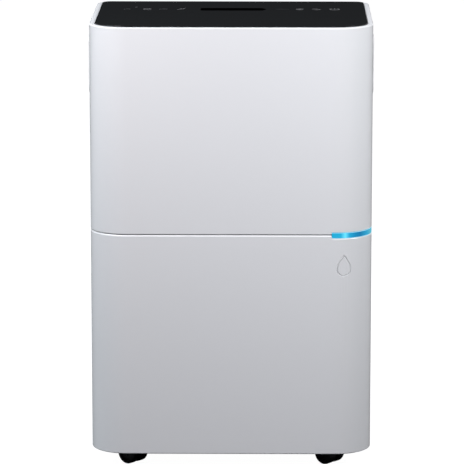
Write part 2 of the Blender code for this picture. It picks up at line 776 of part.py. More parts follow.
def drip_tray():
    """The trough under the coils, with a channel forward to the spout over the bucket."""
    plastic = material("grey_plastic", GREY_PLASTIC)
    low = MID_DECK_Z[1] + GAP
    tray = box("drip_tray", (-0.160, 0.136), (0.056, 0.124), (low, low + 0.014), plastic)
    fuse(tray, box("channel", (-0.012, 0.012), (-0.052, 0.060), (low, low + 0.0085)))
    fuse(tray, cylinder("spout", (*DRIP_HOLE, 0.312), (0, 0, 1), 0.0080, low + 0.002 - 0.312, 24))
    hollow = box("cut_tray", (-0.158, 0.134), (0.058, 0.122), (low + 0.002, low + 0.03))
    cut(tray, hollow)
    cut(tray, box("cut_channel", (-0.010, 0.010), (-0.050, 0.0585), (low + 0.002, low + 0.03)))
    cut(tray, cylinder("cut_spout_bore", (*DRIP_HOLE, 0.30), (0, 0, 1), 0.0062, 0.04, 24))
    return tray


def switch():
    """The bucket switch on the bay's rear wall, and its lever."""
    black = material("switch_black", BLACK_PLASTIC)
    box("bucket_switch", (0.096, 0.116), (-0.0149, BAY_WALL_Y[0] - GAP), (0.286, 0.302), black)
    steel = material("screw_steel", STEEL)
    lever = box("switch_lever", (0.102, 0.110), (-0.0187, -0.0179), (0.2845, 0.3025), steel)
    set_origin(lever, (0.106, -0.0183, 0.3020))


# --- refrigeration ------------------------------------------------------------------------------------


def compressor():
    """A rotary compressor's can on a three-cornered foot plate, standing on rubber grommets."""
    x, y = COMPRESSOR_XY
    low, high = COMPRESSOR_Z
    r = COMPRESSOR_R
    profile = [(0, low), (r - 0.006, low), (r, low + 0.006), (r, high - 0.022), (r - 0.005, high - 0.011)]
    profile += [(r - 0.018, high - 0.003), (0.016, high), (0, high)]
    can = turned("compressor", profile, (x, y, 0), (0, 0, 1), 24, material("compressor_black", COMPRESSOR_BLACK))
    plate = []
    for corner_deg in (30, 150, 270):
        for turn in (-7, 7):
            angle = math.radians(corner_deg + turn)
            plate.append((x + (FOOT_CIRCLE_R + 0.009) * math.cos(angle), y + (FOOT_CIRCLE_R + 0.009) * math.sin(angle)))
    fuse(can, prism("foot_plate", plate, "Z", low + 0.0005, low + 0.0035))
    return can


def grommets():
    rubber = material("rubber", RUBBER)
    x, y = COMPRESSOR_XY
    low, high = DECK_TOP_Z + GAP, COMPRESSOR_Z[0] + 0.0005 - GAP
    for number, corner_deg in enumerate((30, 150, 270)):
        angle = math.radians(corner_deg)
        place = (x + FOOT_CIRCLE_R * math.cos(angle), y + FOOT_CIRCLE_R * math.sin(angle), 0)
        middle = (low + high) / 2
        profile = [(0, low), (0.0095, low), (0.0095, low + 0.003), (0.0070, middle)]
        profile += [(0.0095, high - 0.003), (0.0095, high), (0, high)]
        turned(f"compressor_grommet_{number + 1}", profile, place, (0, 0, 1), 14, rubber)


def accumulator():
    """The suction accumulator beside the can, with its bracket arm."""
    x, y = ACCUMULATOR_XY
    low, high = ACCUMULATOR_Z
    r = ACCUMULATOR_R
    profile = [(0, low), (r - 0.010, low), (r, low + 0.009), (r, high - 0.009), (r - 0.010, high), (0, high)]
    can = turned("accumulator", profile, (x, y, 0), (0, 0, 1), 24, material("compressor_black", COMPRESSOR_BLACK))
    bracket_x = (COMPRESSOR_XY[0] + COMPRESSOR_R + GAP, x - r + 0.002)
    return fuse(can, box("accumulator_bracket", bracket_x, (y - 0.006, y + 0.006), (0.170, 0.182)))


def coil(name, y, bends):
    """A finned block with end plates, and the return bends that stand out of its right end."""
    fins = material("fin_aluminium", FIN_ALUMINIUM)
    x, z = COIL_X, COIL_Z
    block = box(name, x, y, z, fins)
    middle = (y[0] + y[1]) / 2
    points = []
    faces = []
    spacing = 0.030
    bend_r, tube_r = 0.0110, 0.0040
    for number in range(bends):
        centre_z = 0.392 + number * spacing
        base = len(points)
        ring_steps, arc_steps = 8, 5
        for i in range(arc_steps + 1):
            angle = math.pi * i / arc_steps
            out = Vector((math.sin(angle), 0.0, math.cos(angle)))
            centre = Vector((x[1] - 0.001, middle, centre_z)) + out * bend_r
            for j in range(ring_steps):
                turn = 2 * math.pi * j / ring_steps
                points.append(centre + out * tube_r * math.cos(turn) + Vector((0, tube_r * math.sin(turn), 0)))
        for i in range(arc_steps):
            for j in range(ring_steps):
                k = (j + 1) % ring_steps
                row, after = base + i * ring_steps, base + (i + 1) * ring_steps
                faces.append((row + j, row + k, after + k, after + j))
        faces.append(tuple(base + j for j in range(ring_steps)))
        faces.append(tuple(base + arc_steps * ring_steps + j for j in range(ring_steps)))
    fuse(block, solid(f"{name}_bends", points, faces))
    return block


def pipes():
    """The refrigerant circuit's copper lines. Each end stops just short of what it is brazed to."""
    copper = material("copper", COPPER)
    x, y = COMPRESSOR_XY
    discharge = [
        (x + 0.010, y, COMPRESSOR_Z[1] + 1.5 * GAP),
        (x + 0.010, y, 0.275),
        (x + 0.045, y, 0.292),
        (0.130, 0.070, 0.294),
        (0.168, 0.070, 0.302),
        (0.173, 0.070, 0.335),
        (0.173, 0.071, 0.440),
        (0.172, 0.073, 0.540),
        (0.160, 0.074, 0.560),
        (COIL_X[1] + GAP, 0.074, 0.560),
    ]
    pipe("discharge_pipe", discharge, 0.0038, copper)
    suction = [
        (COIL_X[1] + GAP, 0.108, 0.360),
        (0.138, 0.108, 0.360),
        (0.149, 0.107, 0.345),
        (0.150, 0.105, 0.300),
        (0.146, 0.103, 0.272),
        (0.120, 0.095, 0.262),
        (0.040, 0.070, 0.260),
        (0.018, 0.066, 0.256),
        (*ACCUMULATOR_XY, 0.246),
        (*ACCUMULATOR_XY, ACCUMULATOR_Z[1] + GAP),
    ]
    pipe("suction_pipe", suction, 0.0045, copper)
    drier = [(0, 0), (0.0035, 0), (0.0090, 0.008), (0.0090, 0.052), (0.0035, 0.060), (0, 0.060)]
    turned("filter_drier", drier, (0.160, 0.090, 0.400), (0, 0, 1), 20, copper)
    liquid = [
        (COIL_X[1] + GAP, 0.074, 0.362),
        (0.138, 0.074, 0.362),
        (0.156, 0.082, 0.368),
        (0.160, 0.090, 0.384),
        (0.160, 0.090, 0.400 - GAP),
    ]
    pipe("liquid_pipe", liquid, 0.0030, copper)
    capillary = [
        (0.160, 0.090, 0.460 + GAP),
        (0.160, 0.090, 0.480),
        (0.150, 0.094, 0.500),
        (0.144, 0.104, 0.485),
        (0.153, 0.111, 0.475),
        (0.158, 0.108, 0.500),
        (0.154, 0.107, 0.540),
        (0.142, 0.108, 0.552),
        (COIL_X[1] + GAP, 0.108, 0.552),
    ]
    pipe("capillary_tube", capillary, 0.0015, copper)


# --- fan ------------------------------------------------------------------------------------------------


def volute_line():
    """The scroll's centre line in (x, z): out of the tongue, round the wheel and away to the left."""
    centre_x, centre_z = FAN_AXIS
    start_deg, sweep_deg, steps = 200, 290, 22
    start_r, end_r = 0.087, 0.112
    line = []
    for i in range(steps + 1):
        angle = math.radians(start_deg - sweep_deg * i / steps)
        radius = start_r + (end_r - start_r) * i / steps
        line.append(Vector((centre_x + radius * math.cos(angle), centre_z + radius * math.sin(angle))))
    mouth_x = -0.1805
    first = Vector((mouth_x, line[0].y))
    last = Vector((mouth_x, line[-1].y))
    return [first] + line + [last]


def moved_line(line, by):
    """The same line moved sideways, to its left."""
    found = []
    for i, point in enumerate(line):
        before = line[max(i - 1, 0)]
        after = line[min(i + 1, len(line) - 1)]
        along = (after - before).normalized()
        found.append(point + Vector((-along.y, along.x)) * by)
    return found


def fan_volute():
    """The scroll housing: a plate on the motor's side with a wall round it, open towards the coils."""
    line = volute_line()
    outline = [tuple(p) for p in moved_line(line, 0.0020)]
    volute = prism("fan_volute", outline, "Y", *VOLUTE_Y, material("grey_plastic", GREY_PLASTIC))
    hollow = [tuple(p) for p in line]
    hollow[0] = (hollow[0][0] - 0.01, hollow[0][1])
    hollow[-1] = (hollow[-1][0] - 0.01, hollow[-1][1])
    cut(volute, prism("cut_volute", hollow, "Y", VOLUTE_Y[0] + 0.0020, VOLUTE_Y[1] + 0.01))
    start = (FAN_AXIS[0], -0.02, FAN_AXIS[1])
    return cut(volute, cylinder("cut_volute_hub", start, (0, 1, 0), 0.012, 0.04, 24))


def fan_impeller():
    """A back plate with upright blades round its edge and a hub in its middle."""
    plastic = material("fan_plastic", GREY_PLASTIC)
    x, z = FAN_AXIS
    low, high = FAN_Y
    profile = [(SHAFT_R + 0.0004, low), (FAN_R, low), (FAN_R, low + 0.0024), (0.013, low + 0.0024)]
    profile += [(0.012, low + 0.022), (SHAFT_R + 0.0004, low + 0.022)]
    wheel = turned("fan_impeller", profile, (x, 0, z), (0, 1, 0), 32, plastic)
    points = []
    faces = []
    for number in range(BLADES):
        angle = 2 * math.pi * number / BLADES
        along = Vector((math.cos(angle), 0.0, math.sin(angle)))
        lean = math.radians(32)
        chord = Vector((math.cos(angle + lean), 0.0, math.sin(angle + lean)))
        across = Vector((-chord.z, 0.0, chord.x)) * 0.0007
        inner = Vector((x, 0.0, z)) + along * 0.0600
        outer = inner + chord * 0.0190
        base = len(points)
        for end in (inner, outer):
            for side in (-1, 1):
                for y in (low + 0.0012, high):
                    spot = end + across * side
                    points.append((spot.x, y, spot.z))
        for face in ((0, 1, 3, 2), (4, 6, 7, 5), (0, 4, 5, 1), (2, 3, 7, 6), (0, 2, 6, 4), (1, 5, 7, 3)):
            faces.append(tuple(base + k for k in face))
    fuse(wheel, solid("blades", points, faces))
    return set_origin(wheel, (x, (low + high) / 2, z))


def fan_motor():
    x, z = FAN_AXIS
    r = 0.038
    back = VOLUTE_Y[0] - GAP
    profile = [(0, -0.050), (r - 0.010, -0.050), (r, -0.044), (r, back - 0.004), (r + 0.006, back - 0.004)]
    profile += [(r + 0.006, back), (SHAFT_R, back), (SHAFT_R, FAN_Y[0] + 0.020), (0, FAN_Y[0] + 0.020)]
    return turned("fan_motor", profile, (x, 0, z), (0, 1, 0), 24, material("motor_steel", STEEL))


# --- electrical -------------------------------------------------------------------------------------------


def electrical():
    """The control box with its board, the run capacitor beside it and the humidity sensor."""
    plastic = material("grey_plastic", GREY_PLASTIC)
    low = MID_DECK_Z[1] + GAP
    control = box("control_box", (-0.130, 0.050), (-0.122, -0.068), (low, 0.450), plastic)
    cut(control, box("cut_control", (-0.128, 0.048), (-0.120, -0.070), (low + 0.002, 0.50)))
    board = material("board_green", BOARD_GREEN)
    box("main_board", (-0.124, 0.044), (-0.0800, -0.0784), (low + 0.004, 0.446), board)
    grey = material("fan_plastic", GREY_PLASTIC)
    cylinder("run_capacitor", (0.092, -0.095, low), (0, 0, 1), 0.020, 0.080, 24, grey)
    box("humidity_sensor", (0.154, 0.168), (0.1300, 0.1316), (0.490, 0.515), board)


# --- the whole machine --------------------------------------------------------------------------------------


def stand_on_floor():
    for made in bpy.data.objects:
        made.location.z -= FLOOR_Z


def main():
    for old in list(bpy.data.objects):
        bpy.data.objects.remove(old, do_unlink=True)
    base_pan()
    casters()
    rear_housing()
    rear_screws()
    front_upper_panel()
    top_cover()
    control_panel()
    display_board()
    led_bar()
    led_board()
    side_handles()
    intake_grille()
    filter_mesh()
    outlet_grille()
    drain_fitting()
    cord_gland()
    bucket_front()
    bucket_tub()
    bucket_lid()
    bucket_handle()
    bucket_float()
    bay_frame()
    drip_tray()
    switch()
    compressor()
    grommets()
    accumulator()
    coil("condenser", CONDENSER_Y, 5)
    coil("evaporator", EVAPORATOR_Y, 5)
    pipes()
    fan_volute()
    fan_impeller()
    fan_motor()
    electrical()
    stand_on_floor()


main()
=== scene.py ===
"""The looks of a free-standing dehumidifier: its finished surfaces, its materials and a pale studio.

Metres, +Z up, the front faces -Y. Places come from the frame's own boxes.
"""

import json
import math

import bmesh
import bpy
from mathutils import Matrix, Vector


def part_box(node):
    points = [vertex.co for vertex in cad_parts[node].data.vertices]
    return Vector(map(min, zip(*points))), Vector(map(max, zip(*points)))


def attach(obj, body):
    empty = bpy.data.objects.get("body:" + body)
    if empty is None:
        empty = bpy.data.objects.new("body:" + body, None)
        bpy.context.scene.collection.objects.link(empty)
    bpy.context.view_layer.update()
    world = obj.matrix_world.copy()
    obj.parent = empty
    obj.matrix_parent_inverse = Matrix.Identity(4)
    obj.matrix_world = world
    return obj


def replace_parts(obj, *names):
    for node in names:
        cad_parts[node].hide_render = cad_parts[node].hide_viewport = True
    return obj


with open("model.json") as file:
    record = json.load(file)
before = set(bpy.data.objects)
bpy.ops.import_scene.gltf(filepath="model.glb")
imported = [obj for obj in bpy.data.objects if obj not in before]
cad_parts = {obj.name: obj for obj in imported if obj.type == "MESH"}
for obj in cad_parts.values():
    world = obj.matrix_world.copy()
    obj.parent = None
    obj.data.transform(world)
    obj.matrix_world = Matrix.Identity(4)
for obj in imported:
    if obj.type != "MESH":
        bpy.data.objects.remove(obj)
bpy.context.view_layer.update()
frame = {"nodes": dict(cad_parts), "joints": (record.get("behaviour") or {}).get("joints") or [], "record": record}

# --- the body's plan and levels, read from the frame ---

FRONT_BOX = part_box("bucket_front")
UPPER_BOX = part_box("front_upper_panel")
COVER_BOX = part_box("top_cover")
BAR_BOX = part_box("led_bar")
HALF_W = FRONT_BOX[1][0]
HALF_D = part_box("rear_housing")[1][1]
SPLIT_Y = FRONT_BOX[1][1]
BASE_Z = FRONT_BOX[0][2]
SEAM_LOW_Z = FRONT_BOX[1][2]
SEAM_HIGH_Z = UPPER_BOX[0][2]
SHELL_TOP_Z = UPPER_BOX[1][2]
FRONT_R = 0.050
REAR_R = 0.020
WALL = 0.0028
GAP = 0.0004
RIM_WIDTH = 0.0071
ARC_STEPS = 20
JOINTS = {joint["name"]: joint for joint in frame["joints"]}

# --- camera ---

CAMERA_PLACE = (0.05286, -4.5532, 1.20124)
CAMERA_YAW = 0.011594  # to the left of +Y, in radians
CAMERA_PITCH = 0.193639  # below level, in radians
CAMERA_LENS_MM = 258.566
SENSOR_MM = 36.0


def add_camera():
    data = bpy.data.cameras.new("camera")
    data.sensor_width = SENSOR_MM
    data.lens = CAMERA_LENS_MM
    data.clip_end = 100.0
    camera = bpy.data.objects.new("camera", data)
    bpy.context.scene.collection.objects.link(camera)
    camera.location = CAMERA_PLACE
    camera.rotation_euler = (math.pi / 2 - CAMERA_PITCH, 0.0, CAMERA_YAW)
    bpy.context.scene.camera = camera


# --- materials ---

WHITE = (0.80, 0.805, 0.815)
MIX_FIRST, MIX_SECOND, MIX_RESULT = 6, 7, 2  # a Mix node's colour sockets, by number
EVEN = (1.0, 1.0, 1.0)


def fill_ramp(ramp, rows):
    """Gives a colour ramp its stops, each a position with its red, green and blue, from end to end."""
    stops = ramp.color_ramp.elements
    for stop, row in zip(stops, (rows[0], rows[-1])):
        stop.position = row[0]
        stop.color = (*row[1:], 1.0)
    for row in rows[1:-1]:
        stops.new(row[0]).color = (*row[1:], 1.0)


class Graph:
    """Short ways to add nodes to a tree and to join them."""

    def __init__(self, tree):
        self.tree = tree

    def fill(self, node, inputs):
        for key, value in inputs.items():
            node.inputs[key].default_value = value

    def node(self, kind, inputs=None, **settings):
        """A new node with its settings, and the values of its inputs that nothing is linked to."""
        made = self.tree.nodes.new(kind)
        for key, value in settings.items():
            setattr(made, key, value)
        self.fill(made, inputs or {})
        return made

    def link(self, start, end):
        self.tree.links.new(start, end)

    def output(self, usual, seen, last):
        """Ends the tree in its last node: seen for the camera's own rays, usual for all others."""
        mix = self.node("ShaderNodeMixShader")
        self.link(self.node("ShaderNodeLightPath").outputs["Is Camera Ray"], mix.inputs["Fac"])
        self.link(usual, mix.inputs[1])
        self.link(seen, mix.inputs[2])
        self.link(mix.outputs["Shader"], last.inputs["Surface"])


class Look(Graph):
    """A material under construction, with its shader."""

    def __init__(self, name, colour, roughness, metallic=0.0):
        self.made = bpy.data.materials.new(name)
        self.made.use_nodes = True
        super().__init__(self.made.node_tree)
        self.shader = self.tree.nodes["Principled BSDF"]
        self.fill(self.shader, {"Base Color": (*colour, 1.0), "Roughness": roughness, "Metallic": metallic})

    def place(self, scale=EVEN):
        """The surface's own place in metres, stretched by scale."""
        mapping = self.node("ShaderNodeMapping", {"Scale": scale})
        self.link(self.node("ShaderNodeTexCoord").outputs["Object"], mapping.inputs["Vector"])
        return mapping.outputs["Vector"]

    def noise(self, scale, detail=2.0, place=None):
        texture = self.node("ShaderNodeTexNoise", {"Scale": scale, "Detail": detail})
        self.link(place or self.place(), texture.inputs["Vector"])
        return texture.outputs["Fac"]

    def span(self, value, low, high, from_low=0.0, from_high=1.0):
        """value carried from one range to another."""
        limits = {"From Min": from_low, "From Max": from_high, "To Min": low, "To Max": high}
        ranged = self.node("ShaderNodeMapRange", limits)
        self.link(value, ranged.inputs["Value"])
        return ranged.outputs["Result"]

    def vary_roughness(self, value, low, high):
        self.link(self.span(value, low, high, 0.3, 0.7), self.shader.inputs["Roughness"])

    def vary_colour(self, value, dark, light, low=0.35, high=0.65):
        ends = {MIX_FIRST: (*dark, 1.0), MIX_SECOND: (*light, 1.0)}
        mix = self.node("ShaderNodeMix", ends, data_type="RGBA")
        self.link(self.span(value, 0.0, 1.0, low, high), mix.inputs["Factor"])
        self.link(mix.outputs[MIX_RESULT], self.shader.inputs["Base Color"])

    def bump(self, value, height):
        bump = self.node("ShaderNodeBump", {"Distance": height, "Strength": 1.0})
        self.link(value, bump.inputs["Height"])
        self.link(bump.outputs["Normal"], self.shader.inputs["Normal"])


def scaled(colour, by):
    return tuple(min(1.0, part * by) for part in colour)


def plastic(name, colour, roughness, grain=0.00003, spread=0.012):
    """Moulded plastic: a fine spark-eroded grain and the faint unevenness of a large moulding."""
    look = Look(name, colour, roughness)
    look.vary_colour(look.noise(5.0, 1.0), scaled(colour, 1 - spread), scaled(colour, 1 + spread), 0.2, 0.8)
    look.vary_roughness(look.noise(4.0, 1.0), roughness * 0.96, roughness * 1.04)
    look.bump(look.noise(1400.0, 1.0), grain)
    return look.made


def glossy_white(name, skin):
    """Satin white moulding under a clear polished skin, which darkens it where it turns away."""
    made = plastic(name, WHITE, 0.40, 0.000006, 0.004)
    shader = made.node_tree.nodes["Principled BSDF"]
    shader.inputs["Coat Weight"].default_value = skin
    shader.inputs["Coat Roughness"].default_value = 0.08
    return made


def metal(name, colour, roughness, stretch=EVEN):
    """Bare or plated metal with streaks along one direction."""
    look = Look(name, colour, roughness, 1.0)
    streaks = look.noise(120.0, 4.0, look.place(stretch))
    look.vary_colour(streaks, scaled(colour, 0.88), scaled(colour, 1.06))
    look.vary_roughness(streaks, roughness * 0.75, roughness * 1.3)
    look.bump(streaks, 0.00002)
    return look.made


def painted(name, colour, roughness):
    """Stoved paint on a pressed can: a slight orange peel."""
    look = Look(name, colour, roughness)
    look.vary_colour(look.noise(25.0, 4.0), scaled(colour, 0.85), scaled(colour, 1.2))
    look.vary_roughness(look.noise(80.0, 3.0), roughness * 0.8, roughness * 1.25)
    look.bump(look.noise(420.0, 2.0), 0.00006)
    return look.made


def gloss_black(name, colour, roughness):
    """Polished black acrylic with a trace of handling marks."""
    look = Look(name, colour, roughness)
    look.shader.inputs["IOR"].default_value = 1.42
    smears = look.noise(22.0, 4.0, look.place((1.0, 2.5, 1.0)))
    look.vary_roughness(smears, roughness * 0.85, roughness * 1.3)
    look.vary_colour(look.noise(5.0, 2.0), scaled(colour, 0.96), scaled(colour, 1.04))
    return look.made


def display_black(name):
    """The unlit display: a dead black film without a sheen."""
    look = Look(name, (0.0004, 0.0004, 0.0004), 0.6)
    look.shader.inputs["Specular IOR Level"].default_value = 0.0
    look.vary_roughness(look.noise(30.0), 0.55, 0.65)
    return look.made


def board(name):
    """Green solder mask over faint copper tracks."""
    look = Look(name, (0.02, 0.13, 0.05), 0.35)
    pattern = {
        "Scale": 90.0,
        "Mortar Size": 0.03,
        "Color1": (0.018, 0.12, 0.045, 1.0),
        "Color2": (0.022, 0.15, 0.06, 1.0),
        "Mortar": (0.05, 0.22, 0.09, 1.0),
    }
    tracks = look.node("ShaderNodeTexBrick", pattern)
    look.link(look.place(), tracks.inputs["Vector"])
    look.link(tracks.outputs["Color"], look.shader.inputs["Base Color"])
    look.vary_roughness(look.noise(50.0), 0.3, 0.42)
    return look.made


BAR_GLOW_AND_REFLECTION = (
    (0.0, 0.010, 0.35, 0.60),
    (0.22, 0.012, 0.38, 0.64),
    (0.33, 0.15, 0.76, 1.0),
    (0.43, 0.010, 0.33, 0.60),
    (0.58, 0.004, 0.20, 0.42),
    (0.70, 0.004, 0.14, 0.34),
    (0.86, 0.02, 0.30, 0.52),
    (1.0, 0.10, 0.45, 0.54),
)  # how far along the bar, and the light's red, green and blue there; the lamp's own glow, with a painted reflection in the lighter stops at the far end
# The pale colour of the bar's top and bottom edges is a painted highlight.
BAR_EDGE_HIGHLIGHT = (0.32, 0.66, 0.78, 1.0)
BAR_EDGE_HIGHLIGHT_SPAN = (0.0009, 0.0001)  # from where to where the painted highlight turns the edges pale, in from the edge


def light_guide(name):
    """The lit bar: brightest near its lamp by the start of the corner, fading round the bend. The lighter glow at
    its far end is partly a painted reflection, and its pale top and bottom edges are a painted highlight.
    """
    look = Look(name, (0.01, 0.08, 0.12), 0.22)
    split = look.node("ShaderNodeSeparateXYZ")
    look.link(look.place(), split.inputs["Vector"])
    ramp = look.node("ShaderNodeValToRGB")
    fill_ramp(ramp, BAR_GLOW_AND_REFLECTION)
    look.link(look.span(split.outputs["X"], 0.0, 1.0, BAR_BOX[0][0], BAR_BOX[1][0]), ramp.inputs["Fac"])
    low, high = BAR_BOX[0][2], BAR_BOX[1][2]
    half = (high - low) / 2
    level = look.node("ShaderNodeMath", {1: (low + high) / 2}, operation="SUBTRACT")
    look.link(split.outputs["Z"], level.inputs[0])
    off = look.node("ShaderNodeMath", operation="ABSOLUTE")
    look.link(level.outputs[0], off.inputs[0])
    # The bar turns pale towards its top and bottom edges: a painted highlight.
    edge = look.node("ShaderNodeMix", {MIX_SECOND: BAR_EDGE_HIGHLIGHT}, data_type="RGBA")
    start, end = BAR_EDGE_HIGHLIGHT_SPAN
    look.link(look.span(off.outputs[0], 0.0, 1.0, half - start, half - end), edge.inputs["Factor"])
    look.link(ramp.outputs["Color"], edge.inputs[MIX_FIRST])
    look.link(edge.outputs[MIX_RESULT], look.shader.inputs["Emission Color"])
    look.shader.inputs["Emission Strength"].default_value = 1.0
    look.vary_roughness(look.noise(80.0), 0.18, 0.26)
    return look.made


def net(name):
    """Dark nylon net: a fine square weave."""
    look = Look(name, (0.05, 0.05, 0.055), 0.75)
    most = look.node("ShaderNodeMath", operation="MAXIMUM")
    for number, axis in enumerate("XZ"):
        wave = look.node("ShaderNodeTexWave", {"Scale": 260.0}, bands_direction=axis)
        look.link(look.place(), wave.inputs["Vector"])
        look.link(wave.outputs["Fac"], most.inputs[number])
    look.vary_colour(most.outputs[0], (0.012, 0.012, 0.014), (0.09, 0.09, 0.10), 0.4, 0.9)
    look.bump(most.outputs[0], 0.0003)
    return look.made


LOOKS = {
    "white": glossy_white("white_gloss", 0.8),
    "rim": glossy_white("white_rim", 0.45),
    "grey": plastic("grey_moulding", (0.22, 0.23, 0.24), 0.48),
    "tub": plastic("tub_moulding", (0.50, 0.52, 0.55), 0.38),
    "black": gloss_black("black_acrylic", (0.0082, 0.0092, 0.0098), 0.14),
    "window": display_black("display_window_black"),
    "icon": plastic("printed_grey", (0.22, 0.22, 0.225), 0.5, 0.000005, 0.05),
    "icon_faint": plastic("printed_grey_faint", (0.035, 0.036, 0.038), 0.5, 0.000005, 0.05),
    "bar": light_guide("light_guide_cyan"),
    "nylon": plastic("nylon_black", (0.012, 0.012, 0.013), 0.42, 0.00006, 0.1),
    # A dark grey that paints shade where there is no part.
    "painted_shade": plastic("shadow_grey", (0.05, 0.05, 0.055), 0.7, 0.00003, 0.1),
    "net": net("filter_net"),
    "foam": plastic("foam_white", (0.78, 0.78, 0.76), 0.9, 0.0004, 0.04),
    "board": board("circuit_board"),
    "steel": metal("zinc_steel", (0.56, 0.57, 0.58), 0.34),
    "fins": metal("fin_aluminium", (0.72, 0.74, 0.77), 0.36, (1.0, 1.0, 0.2)),
    "copper": metal("copper_tube", (0.74, 0.36, 0.20), 0.30, (1.0, 1.0, 0.3)),
    "can": painted("can_black", (0.014, 0.014, 0.015), 0.32),
    "fan": plastic("fan_moulding", (0.10, 0.105, 0.11), 0.5),
    "rubber": plastic("rubber_black", (0.018, 0.018, 0.018), 0.82, 0.0001, 0.15),
}

# --- shape helpers ---

EDGE_STEPS = 5  # points added round each small corner
SMOOTH_DEG = 32


def piece(name, points, faces, look, body="chassis", smooth_deg=SMOOTH_DEG):
    """A mesh piece with its normals facing out, riding on a body."""
    mesh = bpy.data.meshes.new(name)
    mesh.from_pydata([tuple(p) for p in points], [], faces)
    work = bmesh.new()
    work.from_mesh(mesh)
    bmesh.ops.recalc_face_normals(work, faces=work.faces)
    many_sided = [face for face in work.faces if len(face.verts) > 4]
    bmesh.ops.triangulate(work, faces=many_sided)
    work.to_mesh(mesh)
    work.free()
    mesh.shade_smooth()
    mesh.set_sharp_from_angle(angle=math.radians(smooth_deg))
    if look:
        mesh.materials.append(LOOKS[look])
    made = bpy.data.objects.new(name, mesh)
    bpy.context.scene.collection.objects.link(made)
    if body:
        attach(made, body)
    return made


def lofts(name, skins, look, body="chassis", closed=False, smooth_deg=SMOOTH_DEG):
    """One mesh of skins, each through rings of equally many points, with closed ends or joined end to end."""
    points = []
    faces = []
    for rings in skins:
        base, count, size = len(points), len(rings), len(rings[0])
        points += [place for ring in rings for place in ring]
        for k in range(count if closed else count - 1):
            here, there = base + k * size, base + (k + 1) % count * size
            for i in range(size):
                following = (i + 1) % size
                faces.append((here + i, here + following, there + following, there + i))
        if not closed:
            faces.append(tuple(range(base, base + size)))
            faces.append(tuple(range(base + (count - 1) * size, base + count * size)))
    return piece(name, points, faces, look, body, smooth_deg)


def lofted(name, rings, look, body="chassis", closed=False, smooth_deg=SMOOTH_DEG):
    return lofts(name, [rings], look, body, closed, smooth_deg)


def weighted(made):
    """Flat faces keep their own normals beside small round edges."""
    step = made.modifiers.new("weighted normals", "WEIGHTED_NORMAL")
    step.keep_sharp = True
    return made


def bevelled(made, width, segments=3, angle_deg=35):
    step = made.modifiers.new("round edges", "BEVEL")
    step.width = width
    step.segments = segments
    step.limit_method = "ANGLE"
    step.angle_limit = math.radians(angle_deg)
    step.use_clamp_overlap = True
    return weighted(made)


def cut(target, cutter):
    step = target.modifiers.new("cut", "BOOLEAN")
    step.operation = "DIFFERENCE"
    step.solver = "EXACT"
    step.object = cutter
    cutter.hide_render = True
    cutter.hide_viewport = True
    return step


def bake_steps(made):
    """Turns the piece's modifiers into its mesh, so that their cutters can go."""
    graph = bpy.context.evaluated_depsgraph_get()
    mesh = bpy.data.meshes.new_from_object(made.evaluated_get(graph))
    old = [step.object for step in made.modifiers if step.type == "BOOLEAN"]
    made.modifiers.clear()
    made.data = mesh
    for cutter in old:
        bpy.data.objects.remove(cutter, do_unlink=True)
    return made


def rounded_path(corners, steps=EDGE_STEPS, closed=True):
    """A polygon of (u, v, radius) corners with each corner turned into an arc of that radius."""
    found = []
    count = len(corners)
    for i, (u, v, radius) in enumerate(corners):
        here = Vector((u, v))
        if radius == 0 or (not closed and i in (0, count - 1)):
            found.append(here)
            continue
        before = Vector(corners[i - 1][:2]) - here
        after = Vector(corners[(i + 1) % count][:2]) - here
        half = before.angle(after) / 2
        back = radius / math.tan(half)
        middle = here + (before.normalized() + after.normalized()).normalized() * (radius / math.sin(half))
        start = here + before.normalized() * back - middle
        end = here + after.normalized() * back - middle
        turn = start.angle_signed(end)
        for k in range(steps + 1):
            found.append(middle + Matrix.Rotation(-turn * k / steps, 2) @ start)
    return [(p.x, p.y) for p in found]


def corner(centre_x, centre_y, radius, start_deg, steps=ARC_STEPS):
    """Stations (x, y, outward x, outward y) round a quarter turn of a plan outline."""
    found = []
    for i in range(steps + 1):
        angle = math.radians(start_deg + 90 * i / steps)
        out_x, out_y = math.cos(angle), math.sin(angle)
        found.append((centre_x + radius * out_x, centre_y + radius * out_y, out_x, out_y))
    return found


def front_corner(side):
    start_deg = 180 if side < 0 else 270
    return corner(side * (HALF_W - FRONT_R), -HALF_D + FRONT_R, FRONT_R, start_deg)


def front_stations():
    start, end = (-HALF_W, SPLIT_Y, -1.0, 0.0), (HALF_W, SPLIT_Y, 1.0, 0.0)
    return [start] + front_corner(-1) + front_corner(1) + [end]


def rear_stations():
    inner_x, inner_y = HALF_W - REAR_R, HALF_D - REAR_R
    arcs = corner(inner_x, inner_y, REAR_R, 0) + corner(-inner_x, inner_y, REAR_R, 90)
    return [(HALF_W, SPLIT_Y + GAP, 1.0, 0.0)] + arcs + [(-HALF_W, SPLIT_Y + GAP, -1.0, 0.0)]


def all_stations():
    return front_stations()[1:-1] + rear_stations()[1:-1]


def bar_stations():
    return [(BAR_BOX[0][0], -HALF_D, 0.0, -1.0)] + front_corner(1) + [(HALF_W, SPLIT_Y, 1.0, 0.0)]


def inward(station, inset, z):
    x, y, out_x, out_y = station
    return (x - inset * out_x, y - inset * out_y, z)


def wall_along(name, stations, profile, look, closed=False):
    """A profile of (inset, z) points carried along an outline's stations."""
    rings = [[inward(station, *spot) for spot in profile] for station in stations]
    return lofted(name, rings, look, closed=closed)


def prism(name, outline, axis, low, high, look, body="chassis"):
    """A flat outline carried along an axis: in (x, y) along Z, in (y, z) along X."""
    if axis == "Z":
        rings = [[(u, v, level) for u, v in outline] for level in (low, high)]
    else:
        rings = [[(level, u, v) for u, v in outline] for level in (low, high)]
    return lofted(name, rings, look, body)


BLOCK_FACES = ((0, 1, 3, 2), (4, 6, 7, 5), (0, 4, 5, 1), (2, 3, 7, 6), (0, 2, 6, 4), (1, 5, 7, 3))


